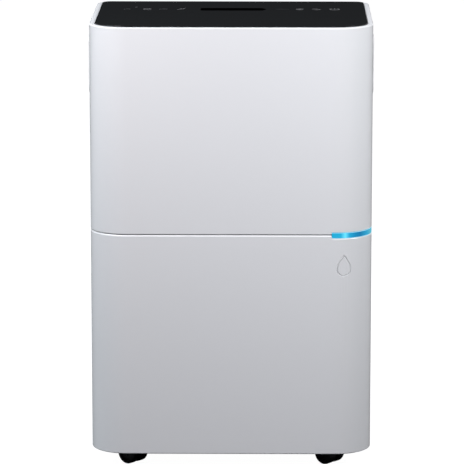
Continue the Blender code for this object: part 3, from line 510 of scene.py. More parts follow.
def blocks(name, boxes, look, body="chassis"):
    """Separate blocks in one mesh, each between the two ends of its x, y and z ranges."""
    points = [(a, b, c) for x, y, z in boxes for a in x for b in y for c in z]
    faces = [tuple(base + k for k in face) for base in range(0, len(points), 8) for face in BLOCK_FACES]
    return piece(name, points, faces, look, body)


def block(name, x, y, z, look, body="chassis", edge=0.0):
    """One block, with its edges rounded."""
    made = blocks(name, [(x, y, z)], look, body)
    return bevelled(made, edge) if edge else made


def turned(name, profile, centre, axis, look, body="chassis", steps=48):
    """A profile of (radius, height) points turned about an axis through centre."""
    axis = Vector(axis).normalized()
    side = axis.orthogonal().normalized()
    other = axis.cross(side)
    centre = Vector(centre)
    least = 1e-7  # a point nearer the axis than this is on it
    points = []
    rings = []
    for radius, height in profile:
        count = steps if radius > least else 1
        rings.append([len(points) + i % count for i in range(steps)])
        for i in range(count):
            angle = 2 * math.pi * i / steps
            around = side * math.cos(angle) + other * math.sin(angle)
            points.append(centre + axis * height + around * radius)
    faces = []
    closed = profile[0][0] > least
    for k in range(len(rings) if closed else len(rings) - 1):
        low, high = rings[k], rings[(k + 1) % len(rings)]
        for i in range(steps):
            following = (i + 1) % steps
            corners = tuple(dict.fromkeys((low[i], low[following], high[following], high[i])))
            if len(corners) > 2:
                faces.append(corners)
    return piece(name, points, faces, look, body)


def widened(span, by):
    return (span[0] - by, span[1] + by)


def about(middle, half):
    return (middle - half, middle + half)


def part_way(span, part):
    return span[0] + (span[1] - span[0]) * part


def arc(x, y, radius, start_deg, end_deg, steps=20):
    angles = [math.radians(start_deg + (end_deg - start_deg) * i / steps) for i in range(steps + 1)]
    return [(x + radius * math.cos(a), y + radius * math.sin(a)) for a in angles]


def circle(x, y, radius, steps):
    return arc(x, y, radius, 0, 360, steps)[:-1]


def spans(node):
    """A node's box as its x, y and z ranges."""
    low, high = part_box(node)
    return tuple(zip(low, high))


def rect_ring(u, v, low_r, high_r=None, steps=6):
    """Points round a rounded rectangle; low_r rounds the two corners at v[0], high_r those at v[1]."""
    high_r = low_r if high_r is None else high_r
    found = corner(u[0] + low_r, v[0] + low_r, low_r, 180, steps)
    found += corner(u[1] - low_r, v[0] + low_r, low_r, 270, steps)
    found += corner(u[1] - high_r, v[1] - high_r, high_r, 0, steps)
    found += corner(u[0] + high_r, v[1] - high_r, high_r, 90, steps)
    return [station[:2] for station in found]


def rect_rows(u, v, low_r, high_r, rows, place, least=0.0025, steps=6):
    """Rings of one rounded rectangle at each (inset, depth) of rows, put in space by place(u, v, depth)."""
    rings = []
    for inset, depth in rows:
        radii = max(low_r - inset, least), max(high_r - inset, least)
        ring = rect_ring(widened(u, -inset), widened(v, -inset), *radii, steps)
        rings.append([place(a, b, depth) for a, b in ring])
    return rings


SLAT_THICK = 0.0013


def slats(name, count, along, across, centre, chord, tilt_deg, place, body="chassis"):
    """Level, tilted white vanes with rounded edges; place(along, depth, across) puts them in space."""
    half, thin = chord / 2, SLAT_THICK / 2
    edge_r = SLAT_THICK * 0.45
    corners = ((-half, -thin), (half, -thin), (half, thin), (-half, thin))
    flat = rounded_path([(u, v, edge_r) for u, v in corners], 3)
    rise, run = math.sin(math.radians(tilt_deg)), math.cos(math.radians(tilt_deg))
    section = [(a * run - b * rise, a * rise + b * run) for a, b in flat]
    skins = []
    for number in range(count):
        level = part_way(across, (number + 0.5) / count)
        skins.append([[place(end, centre + a, level + b) for a, b in section] for end in along])
    return lofts(name, skins, "white", body)


# --- front panels and seam light ---

SEAM_BEVEL = (0.0020, 0.0011)  # the bucket front's upper edge: how far it slopes down and in
BAR_BEVEL = (0.0008, 0.0004)  # the same under the seam light
LOW_EDGE_R = 0.0016
INNER_EDGE_R = 0.0003


def notched_stations():
    """The front outline, with a doubled station where the seam light starts, and which profile each takes."""
    start = BAR_BOX[0][0] - GAP
    plain = [station for station in front_stations() if station[0] < start]
    past = [station for station in front_stations() if station[0] > start]
    turn = (start, -HALF_D, 0.0, -1.0)
    return [(station, 0) for station in plain + [turn]] + [(station, 1) for station in [turn] + past]


def front_shell(name, shapes, shared, body):
    """A front shell whose profile changes at the seam light: shapes holds the corners before it and along it.

    The shared points of the second profile give the levels at which both have points, so that they meet.
    """
    paths = [rounded_path(corners) for corners in shapes]
    outer_z, inner_z = (paths[1][number][1] for number in shared)
    count = EDGE_STEPS + 1
    profiles = []
    for path in paths:
        middle = [(0.0, outer_z)] + path[count:-count] + [(WALL, inner_z)]
        profiles.append(path[:count] + middle + path[-count:])
    rings = [[inward(station, *spot) for spot in profiles[part]] for station, part in notched_stations()]
    made = lofted(name, rings, "white", body)
    work = bmesh.new()
    work.from_mesh(made.data)
    bmesh.ops.remove_doubles(work, verts=work.verts, dist=0.000001)
    bmesh.ops.recalc_face_normals(work, faces=work.faces)
    work.to_mesh(made.data)
    work.free()
    return made


def upper_front():
    high = SHELL_TOP_Z + 0.0003
    shapes = [
        [(0.0, low, 0.0006), (0.0, high, 0.0001), (WALL, high, INNER_EDGE_R), (WALL, low, INNER_EDGE_R)]
        for low in (SEAM_HIGH_Z, BAR_BOX[1][2] + GAP)
    ]
    shell = front_shell("upper_front_shell", shapes, (EDGE_STEPS, -EDGE_STEPS - 1), "chassis")
    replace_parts(weighted(shell), "front_upper_panel")


def bucket_front():
    shapes = []
    for high, (slope, lip) in ((SEAM_LOW_Z + 0.0001, SEAM_BEVEL), (BAR_BOX[0][2] - GAP, BAR_BEVEL)):
        corners = [(0.0, BASE_Z, LOW_EDGE_R), (0.0, high - slope, 0.0003), (lip, high, 0.0002)]
        shapes.append(corners + [(WALL, high, INNER_EDGE_R), (WALL, BASE_Z, INNER_EDGE_R)])
    shell = front_shell("bucket_front_shell", shapes, (EDGE_STEPS + 1, -EDGE_STEPS - 2), "bucket")
    cut(shell, drop_groove()).use_self = True
    bake_steps(shell)
    shell.data.set_sharp_from_angle(angle=math.radians(SMOOTH_DEG))
    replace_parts(weighted(shell), "bucket_front")


def seam_light():
    low, high = BAR_BOX[0][2], BAR_BOX[1][2]
    depth, face_r, back_r = 0.0059, 0.0010, 0.0002
    corners = [(0, low, face_r), (0, high, face_r), (depth, high, back_r), (depth, low, back_r)]
    bar = wall_along("seam_light_bar", bar_stations(), rounded_path(corners, 4), "bar")
    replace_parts(weighted(bar), "led_bar")


DROP_X = 0.1529
DROP_TOP_Z = SEAM_LOW_Z - 0.0285
DROP_HEIGHT = 0.0280
DROP_HALF_W = 0.0087
DROP_SHAPE = (
    (0.0, 0.0),
    (0.04, 0.14),
    (0.10, 0.27),
    (0.20, 0.46),
    (0.33, 0.72),
    (0.48, 0.92),
    (0.63, 1.0),
    (0.76, 0.95),
    (0.87, 0.76),
    (0.95, 0.48),
    (1.0, 0.0),
)  # how far down, and how wide there, as parts of the whole
GROOVE_HALF_W = 0.0010
GROOVE_DEPTH = 0.0014


def smooth_line(points, steps):
    """A Catmull-Rom curve through the points."""
    found = []
    for i in range(len(points) - 1):
        a, b, c, d = (Vector(points[min(max(i + k, 0), len(points) - 1)]) for k in (-1, 0, 1, 2))
        for step in range(steps):
            t = step / steps
            bend = (c - a) * t + (2 * a - 5 * b + 4 * c - d) * t * t + (3 * b - a - 3 * c + d) * t**3
            found.append(0.5 * (2 * b + bend))
    return found + [Vector(points[-1])]


def front_place(x, proud):
    """The x and y of the front's surface at x, moved out of it by proud."""
    past = abs(x) - (HALF_W - FRONT_R)
    if past <= 0:
        return x, -HALF_D - proud
    reach = math.sqrt(FRONT_R**2 - past**2)
    out = past / FRONT_R
    return x + math.copysign(proud * out, x), -HALF_D + FRONT_R - reach - proud * reach / FRONT_R


def drop_groove():
    """A ring of oval section round a water drop's outline, to cut its groove into the bucket's front."""
    marked = [(width * DROP_HALF_W, DROP_TOP_Z - down * DROP_HEIGHT) for down, width in DROP_SHAPE]
    half = smooth_line(marked, 2)
    line = [Vector((DROP_X + spot.x, spot.y)) for spot in half]
    line += [Vector((DROP_X - spot.x, spot.y)) for spot in half[-2:0:-1]]
    size = 12
    rings = []
    for i, place in enumerate(line):
        along = (line[(i + 1) % len(line)] - line[i - 1]).normalized()
        across = Vector((-along.y, along.x)) * GROOVE_HALF_W
        ring = []
        for k in range(size):
            angle = 2 * math.pi * k / size
            spot = place + across * math.cos(angle)
            ring.append((*front_place(spot.x, math.sin(angle) * GROOVE_DEPTH), spot.y))
        rings.append(ring)
    return lofted("cut_drop", rings, None, None, closed=True)


# --- top ---

RIM_TOP_Z = COVER_BOX[1][2] - 0.0004  # a little under the CAD's rim, so that the panel's edge shows
PANEL_EDGE_R = 0.0008


def top():
    low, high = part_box("control_panel")[0][2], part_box("control_panel")[1][2]
    joint_z = SHELL_TOP_Z + 0.0004
    ledge_z, ledge_low_z = low - GAP, low - GAP - 0.0022
    ledge_inset, low_z = 0.0180, COVER_BOX[0][2]
    skirt, skirt_in = WALL + GAP + 0.0002, WALL + GAP + 0.0028
    corners = [(0.0, joint_z, 0.0001), (0.0, RIM_TOP_Z, 0.0014), (RIM_WIDTH, RIM_TOP_Z, 0.0004)]
    corners += [(RIM_WIDTH, ledge_z, 0), (ledge_inset, ledge_z, 0), (ledge_inset, ledge_low_z, 0)]
    corners += [(skirt_in, ledge_low_z, 0), (skirt_in, low_z, 0), (skirt, low_z, 0), (skirt, joint_z, 0)]
    rim = wall_along("top_cover_rim", all_stations(), rounded_path(corners, 6), "rim", closed=True)
    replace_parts(weighted(rim), "top_cover")
    inset = RIM_WIDTH + GAP
    edge = [(inset, low)]
    for k in range(5):
        angle = math.pi / 2 * k / 4
        across, down = 1 - math.cos(angle), 1 - math.sin(angle)
        edge.append((inset + PANEL_EDGE_R * across, high - PANEL_EDGE_R * down))
    rings = [[inward(station, *spot) for station in all_stations()] for spot in edge]
    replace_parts(weighted(lofted("control_glass", rings, "black")), "control_panel")
    marks(high)


ICON_Y = 0.0455  # how far behind the middle the row of touch symbols lies
ICON_R = 0.0055
STROKE_WIDTH = 0.0011
STROKE_HEIGHT = 0.00006


def flat_line(name, line, z, look, closed):
    """A thin printed stroke on the control panel."""
    rings = []
    count = len(line)
    for i, place in enumerate(line):
        before = Vector(line[i - 1] if closed or i else line[i])
        after = Vector(line[(i + 1) % count] if closed or i < count - 1 else line[i])
        along = (after - before).normalized()
        across = Vector((-along.y, along.x)) * (STROKE_WIDTH / 2)
        left, right = Vector(place) - across, Vector(place) + across
        rings.append([(*left, z), (*left, z + STROKE_HEIGHT), (*right, z + STROKE_HEIGHT), (*right, z)])
    return lofted(name, rings, look, closed=closed)


def window_outline():
    left, right, back, middle = -0.0440, 0.0415, 0.0135, ICON_Y - 0.0015
    corners = [(left, middle - back, 0.004), (right, middle - back, 0.004), (right + 0.006, middle, 0.003)]
    return rounded_path(corners + [(right, middle + back, 0.004), (left, middle + back, 0.004)])


def marks(top_z):
    """The display window and generic touch symbols on the control panel."""
    prism("display_window", window_outline(), "Z", top_z, top_z + 0.00008, "window")
    bow = [(-0.150, 0.002), (-0.142, 0.002), (-0.142, -0.005), (-0.150, -0.005)]
    hands = [(-0.096, 0.003), (-0.096, 0.0), (-0.093, 0.0)]
    wave = [(-0.0760, -0.004), (-0.0715, -0.001), (-0.0700, 0.004), (-0.0655, 0.005)]
    fan = [(arc(-0.1180, 0, ICON_R, 20, 160), False), (arc(-0.1180, 0, ICON_R, 200, 340), False)]
    humidity = [(arc(0.0935, 0, ICON_R, 30, 150), False), (arc(0.0935, 0, ICON_R, 210, 330), False)]
    mode = [(arc(0.1165, 0, ICON_R, 60, 170), False), (arc(0.1165, 0, ICON_R, 240, 350), False)]
    power = [(arc(0.1420, 0, 0.0065, 120, 420), False), ([(0.1420, 0.002), (0.1420, 0.0085)], False)]
    symbols = {
        "lock": ("icon_faint", [(arc(-0.1460, 0.002, 0.003, 0, 180), False), (bow, True)]),
        "dot": ("icon", [(arc(-0.1340, 0.021, 0.0010, 0, 342, 10), True)]),
        "fan": ("icon", fan),
        "timer": ("icon_faint", [(arc(-0.0960, 0, ICON_R, 0, 342), True), (hands, False)]),
        "speed": ("icon", [(wave, False)]),
        "line": ("icon_faint", [([(0.0600, 0), (0.0790, 0)], False)]),
        "humidity": ("icon", humidity + [(arc(0.0935, 0, 0.0012, 0, 330, 10), True)]),
        "mode": ("icon", mode),
        "power": ("icon", power),
    }
    for name, (look, lines) in symbols.items():
        for number, (line, closed) in enumerate(lines):
            placed = [(x, ICON_Y + y) for x, y in line]
            flat_line(f"symbol_{name}_{number + 1}", placed, top_z + 0.00002, look, closed)


# --- rear housing and what sits in it ---

BACKWARD = (0, 1, 0)
SIDES = ((-1, "left"), (1, "right"))
OPENING_GAP = 0.0005
CUT_REACH = 0.01  # how far out of the surface a cutter ends
OUTLET_BORDER = 0.0045
INTAKE_BORDER = 0.0115
INTAKE_SLATS = 26
OUTLET_VANES = 11
GRIP_FLANGE = 0.0045
GRIP_R = 0.012
GRIP_ROWS = (
    (0.0140, -0.0218),
    (0.0108, -0.0213),
    (0.0092, -0.0196),
    (0.0074, -0.0040),
    (0.0068, -0.0003),
    (0.0062, 0.0006),
    (0.0052, 0.0012),
    (0.0042, 0.0013),
    (0.0012, 0.0013),
    (0.0004, 0.0010),
    (0.0, 0.0003),
    (0.0049, 0.0003),
    (0.0049, -0.0180),
    (0.0075, -0.0236),
)  # how far in from the lip's edge, and how far out of the wall, from the cup's floor out and back behind it
GLAND_R = 0.0101
REAR_SCREWS = [f"rear_screw_{level}_{hand}" for level in ("base", "deck", "top") for _, hand in SIDES]


def at_back(u, v, depth):
    return (u, HALF_D + depth, v)


def at_side(side):
    return lambda u, v, depth: (side * (HALF_W + depth), u, v)


def in_place(x, y, z):
    return (x, y, z)


def on_back(node, depth=0.0):
    """The middle of a round piece, this far out of the back's surface."""
    x, _, z = spans(node)
    return (sum(x) / 2, HALF_D + depth, sum(z) / 2)


def cut_block(target, name, ring, place, low):
    """Cuts a ring's outline into a wall, from the depth low outward."""
    rings = [[place(a, b, depth) for a, b in ring] for depth in (low, CUT_REACH)]
    cut(target, lofted(name, rings, None, None))


def rod(name, start, axis, radius, length, look=None, body=None, steps=40):
    return turned(name, [(0, 0), (radius, 0), (radius, length), (0, length)], start, axis, look, body, steps)


def rear_housing():
    corners = [(0.0, BASE_Z, LOW_EDGE_R), (0.0, SHELL_TOP_Z, INNER_EDGE_R)]
    corners += [(WALL, SHELL_TOP_Z, INNER_EDGE_R), (WALL, BASE_Z, INNER_EDGE_R)]
    housing = wall_along("rear_housing_shell", rear_stations(), rounded_path(corners), "white")
    openings = [("intake_grille", 0, OPENING_GAP, 0.0065, at_back, -0.02)]
    openings += [("outlet_grille", 1, OPENING_GAP, 0.0045, at_side(-1), -0.01)]
    for side, hand in SIDES:
        openings.append((f"handle_{hand}", 1, -GRIP_FLANGE, GRIP_R - GRIP_FLANGE, at_side(side), -0.01))
    for node, axis, by, radius, place, low in openings:
        box = spans(node)
        ring = rect_ring(widened(box[axis], by), widened(box[2], by), radius)
        cut_block(housing, f"cut_{node}", ring, place, low)
    for node in ["drain_port"] + REAR_SCREWS + ["cord_gland"]:
        x = spans(node)[0]
        radius = GLAND_R if node == "cord_gland" else (x[1] - x[0]) / 2
        gap = 0.0003 if node in REAR_SCREWS else GAP
        cut(housing, rod(f"cut_{node}", on_back(node, -0.02), BACKWARD, radius + gap, 0.04))
    weighted(bake_steps(housing))
    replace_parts(housing, "rear_housing")


def grips():
    """Moulded cups for the fingers, each with a thin rolled lip over the side wall."""
    for side, hand in SIDES:
        node = f"handle_{hand}"
        _, y, z = spans(node)
        rings = rect_rows(y, z, GRIP_R, GRIP_R, GRIP_ROWS, at_side(side), steps=8)
        grip = lofted(f"{node}_cup", rings, "white", smooth_deg=50)
        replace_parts(weighted(grip), node)


def intake():
    """The filter cassette's grille: a frame with two finger recesses, tilted slats and upright ribs."""
    x, y, z = spans("intake_grille")
    border, back = INTAKE_BORDER, y[0] - HALF_D
    rows = [(0.0, back), (0.0, -0.0007), (0.0002, -0.0002), (0.0008, 0.0), (border - 0.0014, 0.0)]
    rows += [(border - 0.0004, -0.0004), (border, -0.0014), (border, back)]
    rings = rect_rows(x, z, 0.006, 0.006, rows, at_back)
    frame_ring = lofted("intake_frame", rings, "white", "filter_cassette", closed=True)
    for side in (-1, 1):
        ring = rect_ring(about(side * 0.085, 0.014), (z[1] - 0.0092, z[1] - 0.0042), 0.0024)
        cut_block(frame_ring, f"cut_tab_{side}", ring, at_back, -0.0045)
    weighted(bake_steps(frame_ring))
    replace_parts(frame_ring, "intake_grille")
    inner_x, inner_z = widened(x, 0.0004 - border), widened(z, 0.0002 - border)
    middle, chord, tilt = y[1] - 0.0043, 0.0074, 28
    slats("intake_slats", INTAKE_SLATS, inner_x, inner_z, middle, chord, tilt, in_place, "filter_cassette")
    ribs = []
    for number in range(1, 6):
        half = 0.0016 if number == 3 else 0.0008
        ribs.append((about(part_way(inner_x, number / 6), half), (y[0], y[1] - 0.0016), inner_z))
    blocks("intake_ribs", ribs, "white", "filter_cassette")


def filter_net():
    """The net behind the grille and its nylon frame, with thinner bars across."""
    x, y, z = spans("filter_mesh")
    inner_x, inner_z = widened(x, -0.006), widened(z, -0.006)
    bars = [((x[0], inner_x[0]), y, z), ((inner_x[1], x[1]), y, z)]
    bars += [(inner_x, y, (z[0], inner_z[0])), (inner_x, y, (inner_z[1], z[1]))]
    for number in range(1, 5):
        bars.append((about(part_way(x, number / 5), 0.001), (y[0] + 0.0004, y[1] - 0.0002), inner_z))
    for number in range(1, 4):
        bars.append((inner_x, (y[0] + 0.0005, y[1] - 0.0003), about(part_way(z, number / 4), 0.001)))
    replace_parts(blocks("filter_frame", bars, "nylon", "filter_cassette"), "filter_mesh")
    sheet = widened(x, -0.004), (y[1] - 0.0011, y[1] - 0.0008), widened(z, -0.004)
    block("filter_net", *sheet, "net", "filter_cassette")


def inside_left(u, depth, v):
    return (depth - HALF_W, u, v)


def inside_x(near, far):
    """The x range between two depths inside the left wall."""
    return (near - HALF_W, far - HALF_W)


def outlet():
    """The air outlet's frame and its tilted vanes, low on the left side, with a dark sheet of painted shade behind
    the vanes.
    """
    _, y, z = spans("outlet_grille")
    border = OUTLET_BORDER
    back = -0.008
    rows = [(0.0, back), (0.0, -0.0006), (0.0006, 0.0), (border - 0.0008, 0.0)]
    rows += [(border, -0.0010), (border, back)]
    ring = lofted("outlet_frame", rect_rows(y, z, 0.004, 0.004, rows, at_side(-1)), "white", closed=True)
    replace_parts(weighted(ring), "outlet_grille")
    inner_y, inner_z = widened(y, 0.0003 - border), widened(z, 0.0003 - border)
    middle, chord, tilt = 0.0042, 0.0076, -32
    slats("outlet_vanes", OUTLET_VANES, inner_y, widened(z, -border), middle, chord, tilt, inside_left)
    block("outlet_rib", inside_x(0.0050, 0.0078), about(sum(y) / 2, 0.0008), inner_z, "white")
    # A thin dark sheet behind the vanes: painted shade for the dark inside of the outlet.
    block("outlet_shade_sheet", inside_x(0.0108, 0.0112), widened(y, 0.004), widened(z, 0.004), "painted_shade")


def drain():
    """The drain port, sunk in the back, and its knurled cap."""
    x, y, _ = spans("drain_port")
    centre = on_back("drain_port")
    outer, dish, depth, spigot, bore, lip = (x[1] - x[0]) / 2, 0.0176, 0.015, 0.0080, 0.0056, 0.0025
    back, behind = y[0] - HALF_D, -depth - 0.0022
    corners = [(outer, 0, 0.0005), (dish, 0, 0.0007), (dish - 0.0008, -depth, 0.0016)]
    corners += [(spigot, -depth, 0.0006), (spigot, -lip, 0.0005), (bore, -lip, 0.0005)]
    corners += [(bore, back, 0), (spigot, back, 0)]
    corners += [(spigot, behind, 0), (outer, behind, 0)]
    port = turned("drain_port_dish", rounded_path(corners, 4), centre, BACKWARD, "grey", steps=56)
    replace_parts(port, "drain_port")
    inner, cap_r, cap_low = spigot + 0.0006, 0.0121, 0.0015 - depth
    corners = [(0, -0.0021, 0), (inner, -0.0021, 0), (inner, cap_low, 0), (cap_r + 0.0002, cap_low, 0.0004)]
    corners += [(cap_r, -0.0016, 0.0010), (0, -0.0016, 0)]
    profile = rounded_path(corners, 4, closed=False)
    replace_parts(turned("drain_cap_body", profile, centre, BACKWARD, "grey", "drain_cap", 56), "drain_cap")
    middle_x, _, middle_z = centre
    grip = about(middle_x, 0.0092), (HALF_D - 0.0022, HALF_D), about(middle_z, 0.0016)
    block("drain_cap_grip", *grip, "grey", "drain_cap", 0.0006)
    ends = (HALF_D - depth + 0.0020, HALF_D - 0.0030)
    ridges = [circle(*place, 0.0004, 6) for place in circle(middle_x, middle_z, cap_r, 28)]
    skins = [[[(u, end, v) for u, v in ridge] for end in ends] for ridge in ridges]
    lofts("drain_cap_knurl", skins, "grey", "drain_cap")


def cord_gland():
    bore, collar, behind = 0.0040, 0.0135, -WALL - GAP
    corners = [(GLAND_R, 0, 0.0012), (0.0058, 0, 0.0008), (bore, -0.0022, 0.0005), (bore, -0.012, 0)]
    corners += [(collar, -0.012, 0), (collar, behind, 0), (GLAND_R, behind, 0)]
    gland = turned("cord_gland_ring", rounded_path(corners, 4), on_back("cord_gland"), BACKWARD, "rubber")
    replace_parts(gland, "cord_gland")


def screw(name):
    """A flush pan-headed screw with a cross recess."""
    x, y, z = spans(name)
    radius, shank, back, under = (x[1] - x[0]) / 2, 0.0014, y[0] - y[1], -0.0022
    centre = (sum(x) / 2, y[1], sum(z) / 2)
    corners = [(0, back, 0), (shank, back, 0), (shank, under, 0), (radius, under, 0)]
    corners += [(radius, 0, 0.0012), (0, 0, 0)]
    made = turned(f"{name}_head", rounded_path(corners, closed=False), centre, BACKWARD, "steel", steps=32)
    deep = (centre[1] - 0.0012, centre[1] + 0.01)
    for wide, tall in ((0.0021, 0.0005), (0.0005, 0.0021)):
        across, up = about(centre[0], wide), about(centre[2], tall)
        cut(made, block(f"cut_{name}_{wide}", across, deep, up, None, None))
    bake_steps(made)
    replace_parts(made, name)


# --- casters ---

WHEEL_OUTER = 0.0149  # from the caster's middle to a wheel's outer face
WHEEL_INNER = 0.0036


def casters():
    """Each caster's two wheels on their axle, and its swivel."""
    for joint in frame["joints"]:
        if not joint["name"].startswith("roll_"):
            continue
        name = joint["name"].removeprefix("roll_")
        axle = Vector(joint["axis"]).normalized()
        centre = Vector(joint["pos_m"])
        stem = Vector(JOINTS[f"swivel_{name}"]["pos_m"])
        outer, radius = WHEEL_OUTER, centre.z
        near = [(0.0, 0.0006 - outer), (0.0030, 0.0006 - outer), (0.0036, 0.0014 - outer)]
        near += [(0.0046, 0.0022 - outer), (0.0098, 0.0022 - outer), (0.0104, 0.0006 - outer)]
        tyre = [(0.0108, -outer, 0.0004), (radius, -outer, 0.0026), (radius, -WHEEL_INNER, 0.0010)]
        near += rounded_path(tyre + [(0.0028, -WHEEL_INNER, 0)], 6, closed=False)
        far = [(r, -h) for r, h in reversed(near)]
        wheel = turned(f"wheel_pair_{name}", near + far, centre, axle, "nylon", f"wheels_{name}", 64)
        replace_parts(wheel, f"caster_{name}_wheels")
        swivel(name, centre, stem, axle)


def swivel(name, centre, stem, axle):
    """The caster's plate and stem, the web between the wheels and the neck that joins them."""
    body = f"swivel_{name}"
    top_z = spans(f"caster_{name}_swivel")[2][1]
    plate = top_z - 0.0108
    stem_r, plate_r, bore_r, web_r, half = 0.0041, 0.0125, 0.0031, 0.0113, 0.0029
    corners = [(0, plate - 0.0027, 0), (0.0115, plate - 0.0027, 0.0008), (plate_r, plate - 0.0012, 0.0006)]
    corners += [(plate_r, plate, 0.0004), (stem_r, plate, 0.0008), (stem_r, top_z, 0.0008), (0, top_z, 0)]
    profile = rounded_path(corners, 4, closed=False)
    made = turned(f"caster_{name}_stem", profile, (stem.x, stem.y, 0.0), (0, 0, 1), "nylon", body, 40)
    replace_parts(made, f"caster_{name}_swivel")
    corners = [(bore_r, -half, 0), (web_r, -half, 0.0007), (web_r, half, 0.0007), (bore_r, half, 0)]
    turned(f"caster_{name}_web", rounded_path(corners, 4), centre, axle, "nylon", body, 40)
    toward = Vector((centre.x - stem.x, centre.y - stem.y, 0.0)).normalized()
    high, low = plate - 0.0020, centre.z + 0.001
    rings = []
    for side in (-0.0027, 0.0027):
        middle = stem.xy.to_3d() + axle * side
        outline = ((-0.0088, high), (0.0083, high), (0.0083, low), (-0.0010, low))
        rings.append([middle + toward * along + Vector((0, 0, level)) for along, level in outline])
    bevelled(lofted(f"caster_{name}_neck", rings, "nylon", body), 0.0005)


# --- bucket ---

TUB_FRONT_R = 0.0468
TUB_REAR_R = 0.012
TUB_WALL = 0.0022
LID_THICK = 0.003
DRIP_Y = -0.040
DRIP_R = 0.018
EAR_HALF = 0.0015
RIB_RANGES = ((-0.1180, -0.1168), (-0.1100, -0.1088))
PIVOT = Vector(JOINTS["bucket_handle_fold"]["pos_m"])
FLOAT_PIVOT = Vector(JOINTS["float_lift"]["pos_m"])


def tub_rings(x, y, rows):
    return rect_rows(x, y, TUB_FRONT_R, TUB_REAR_R, rows, in_place, 0.003, 10)


def tub():
    """The water bucket's tub and the level marks on its sides."""
    x, y, z = spans("bucket_tub")
    low, high = z
    wall = TUB_WALL
    rows = [(wall + 0.0140, low + wall), (wall + 0.0060, low + wall + 0.0006)]
    rows += [(wall + 0.0022, low + wall + 0.0030), (wall + 0.0004, low + wall + 0.0080)]
    rows += [(wall, low + 0.020), (wall, high - 0.0006), (wall - 0.0005, high)]
    rows += [(0.0006, high), (0.0, high - 0.0006), (0.0, high - 0.0080), (0.0010, high - 0.0090)]
    rows += [(0.0010, low + 0.0100), (0.0018, low + 0.0050), (0.0045, low + 0.0014), (0.0100, low)]
    body = lofted("bucket_tub_body", tub_rings(x, y, rows), "tub", "bucket")
    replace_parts(weighted(body), "bucket_tub")
    level_marks = []
    for number in range(9):
        level = low + 0.030 + 0.022 * number
        reach = 0.020 if number % 2 == 0 else 0.011
        for side in (-1, 1):
            across = sorted((side * (x[1] - 0.0014), side * (x[1] - 0.0004)))
            level_marks.append((across, (-0.060, -0.060 + reach), (level, level + 0.0010)))
    blocks("bucket_level_marks", level_marks, "tub", "bucket")


def lid():
    """The tub's lid, with its drip hole, its pouring mouth, the bail's ears and two ribs."""
    x, y, z = spans("bucket_lid")
    low, high = z[0], z[0] + LID_THICK
    rows = [(0.0004, low), (0.0, low + 0.0004), (0.0, high - 0.0008), (0.0003, high - 0.0002), (0.0010, high)]
    plate = lofted("bucket_lid_plate", tub_rings(x, y, rows), "white", "bucket")
    below, above = low - CUT_REACH, high + CUT_REACH
    cut(plate, rod("cut_drip", (0.0, DRIP_Y, below), (0, 0, 1), DRIP_R, 0.03, steps=56))
    mouth = [(-0.172, -0.072, 0.006), (-0.130, -0.072, 0.012), (-0.105, -0.050, 0.010)]
    mouth += [(-0.105, -0.026, 0.006), (-0.172, -0.026, 0.006)]
    cut(plate, prism("cut_pour", rounded_path(mouth), "Z", below, above, None, None))
    bevelled(bake_steps(plate), 0.0005, 2, 50)
    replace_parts(plate, "bucket_lid")
    sunk, proud, outer = high - 0.0002, high + 0.0012, DRIP_R + 0.0020
    rim = [(DRIP_R, sunk, 0), (DRIP_R, proud, 0.0005), (outer, proud, 0.0005), (outer, sunk, 0)]
    turned("bucket_drip_rim", rounded_path(rim, 3), (0.0, DRIP_Y, 0.0), (0, 0, 1), "white", "bucket", 56)
    ear_low = high - 0.0004
    outline = [(PIVOT.y - 0.006, ear_low, 0), (PIVOT.y + 0.006, ear_low, 0)]
    outline += [(PIVOT.y + 0.005, z[1], 0.0042), (PIVOT.y - 0.005, z[1], 0.0042)]
    for side, hand in SIDES:
        for across, row in ((0.1425, "inner"), (0.1545, "outer")):
            span = about(side * across, EAR_HALF)
            ear = prism(f"bucket_ear_{hand}_{row}", rounded_path(outline), "X", *span, "white", "bucket")
            bevelled(ear, 0.0004, 2, 50)
    ribs = [((-0.090, 0.170), y_range, (high - 0.0003, high + 0.0007)) for y_range in RIB_RANGES]
    blocks("bucket_lid_ribs", ribs, "white", "bucket")


def bail():
    """The bucket's folding handle: a bar with grip ridges, two arms and their pins."""
    _, y, z = spans("bucket_handle")
    half, front = 0.150, y[0]
    bar = block("bail_bar", (-half, half), (front, front + 0.010), z, "grey", "bucket_handle", 0.0020)
    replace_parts(bar, "bucket_handle")
    root, tip, low, high = front + 0.004, PIVOT.y + 0.0016, z[0] + 0.0002, z[1] - 0.0002
    outline = rounded_path([(root, low, 0), (tip, low, 0.0014), (tip, high, 0.0014), (root, high, 0)])
    for side, hand in SIDES:
        arm_x = sorted((side * (half - 0.0030), side * (half - 0.0002)))
        bevelled(prism(f"bail_arm_{hand}", outline, "X", *arm_x, "grey", "bucket_handle"), 0.0005, 2, 50)
        start = (0.1405 if side > 0 else -0.1565, PIVOT.y, PIVOT.z)
        rod(f"bail_pin_{hand}", start, (1, 0, 0), 0.0018, 0.016, "grey", "bucket_handle", 24)
    ridge_y, ridge_z = (front + 0.0012, front + 0.0088), (z[1] - 0.0002, z[1])
    ridges = [(about(0.006 * k - 0.0438, 0.0012), ridge_y, ridge_z) for k in range(16)]
    blocks("bail_grip_ridges", ridges, "grey", "bucket_handle")


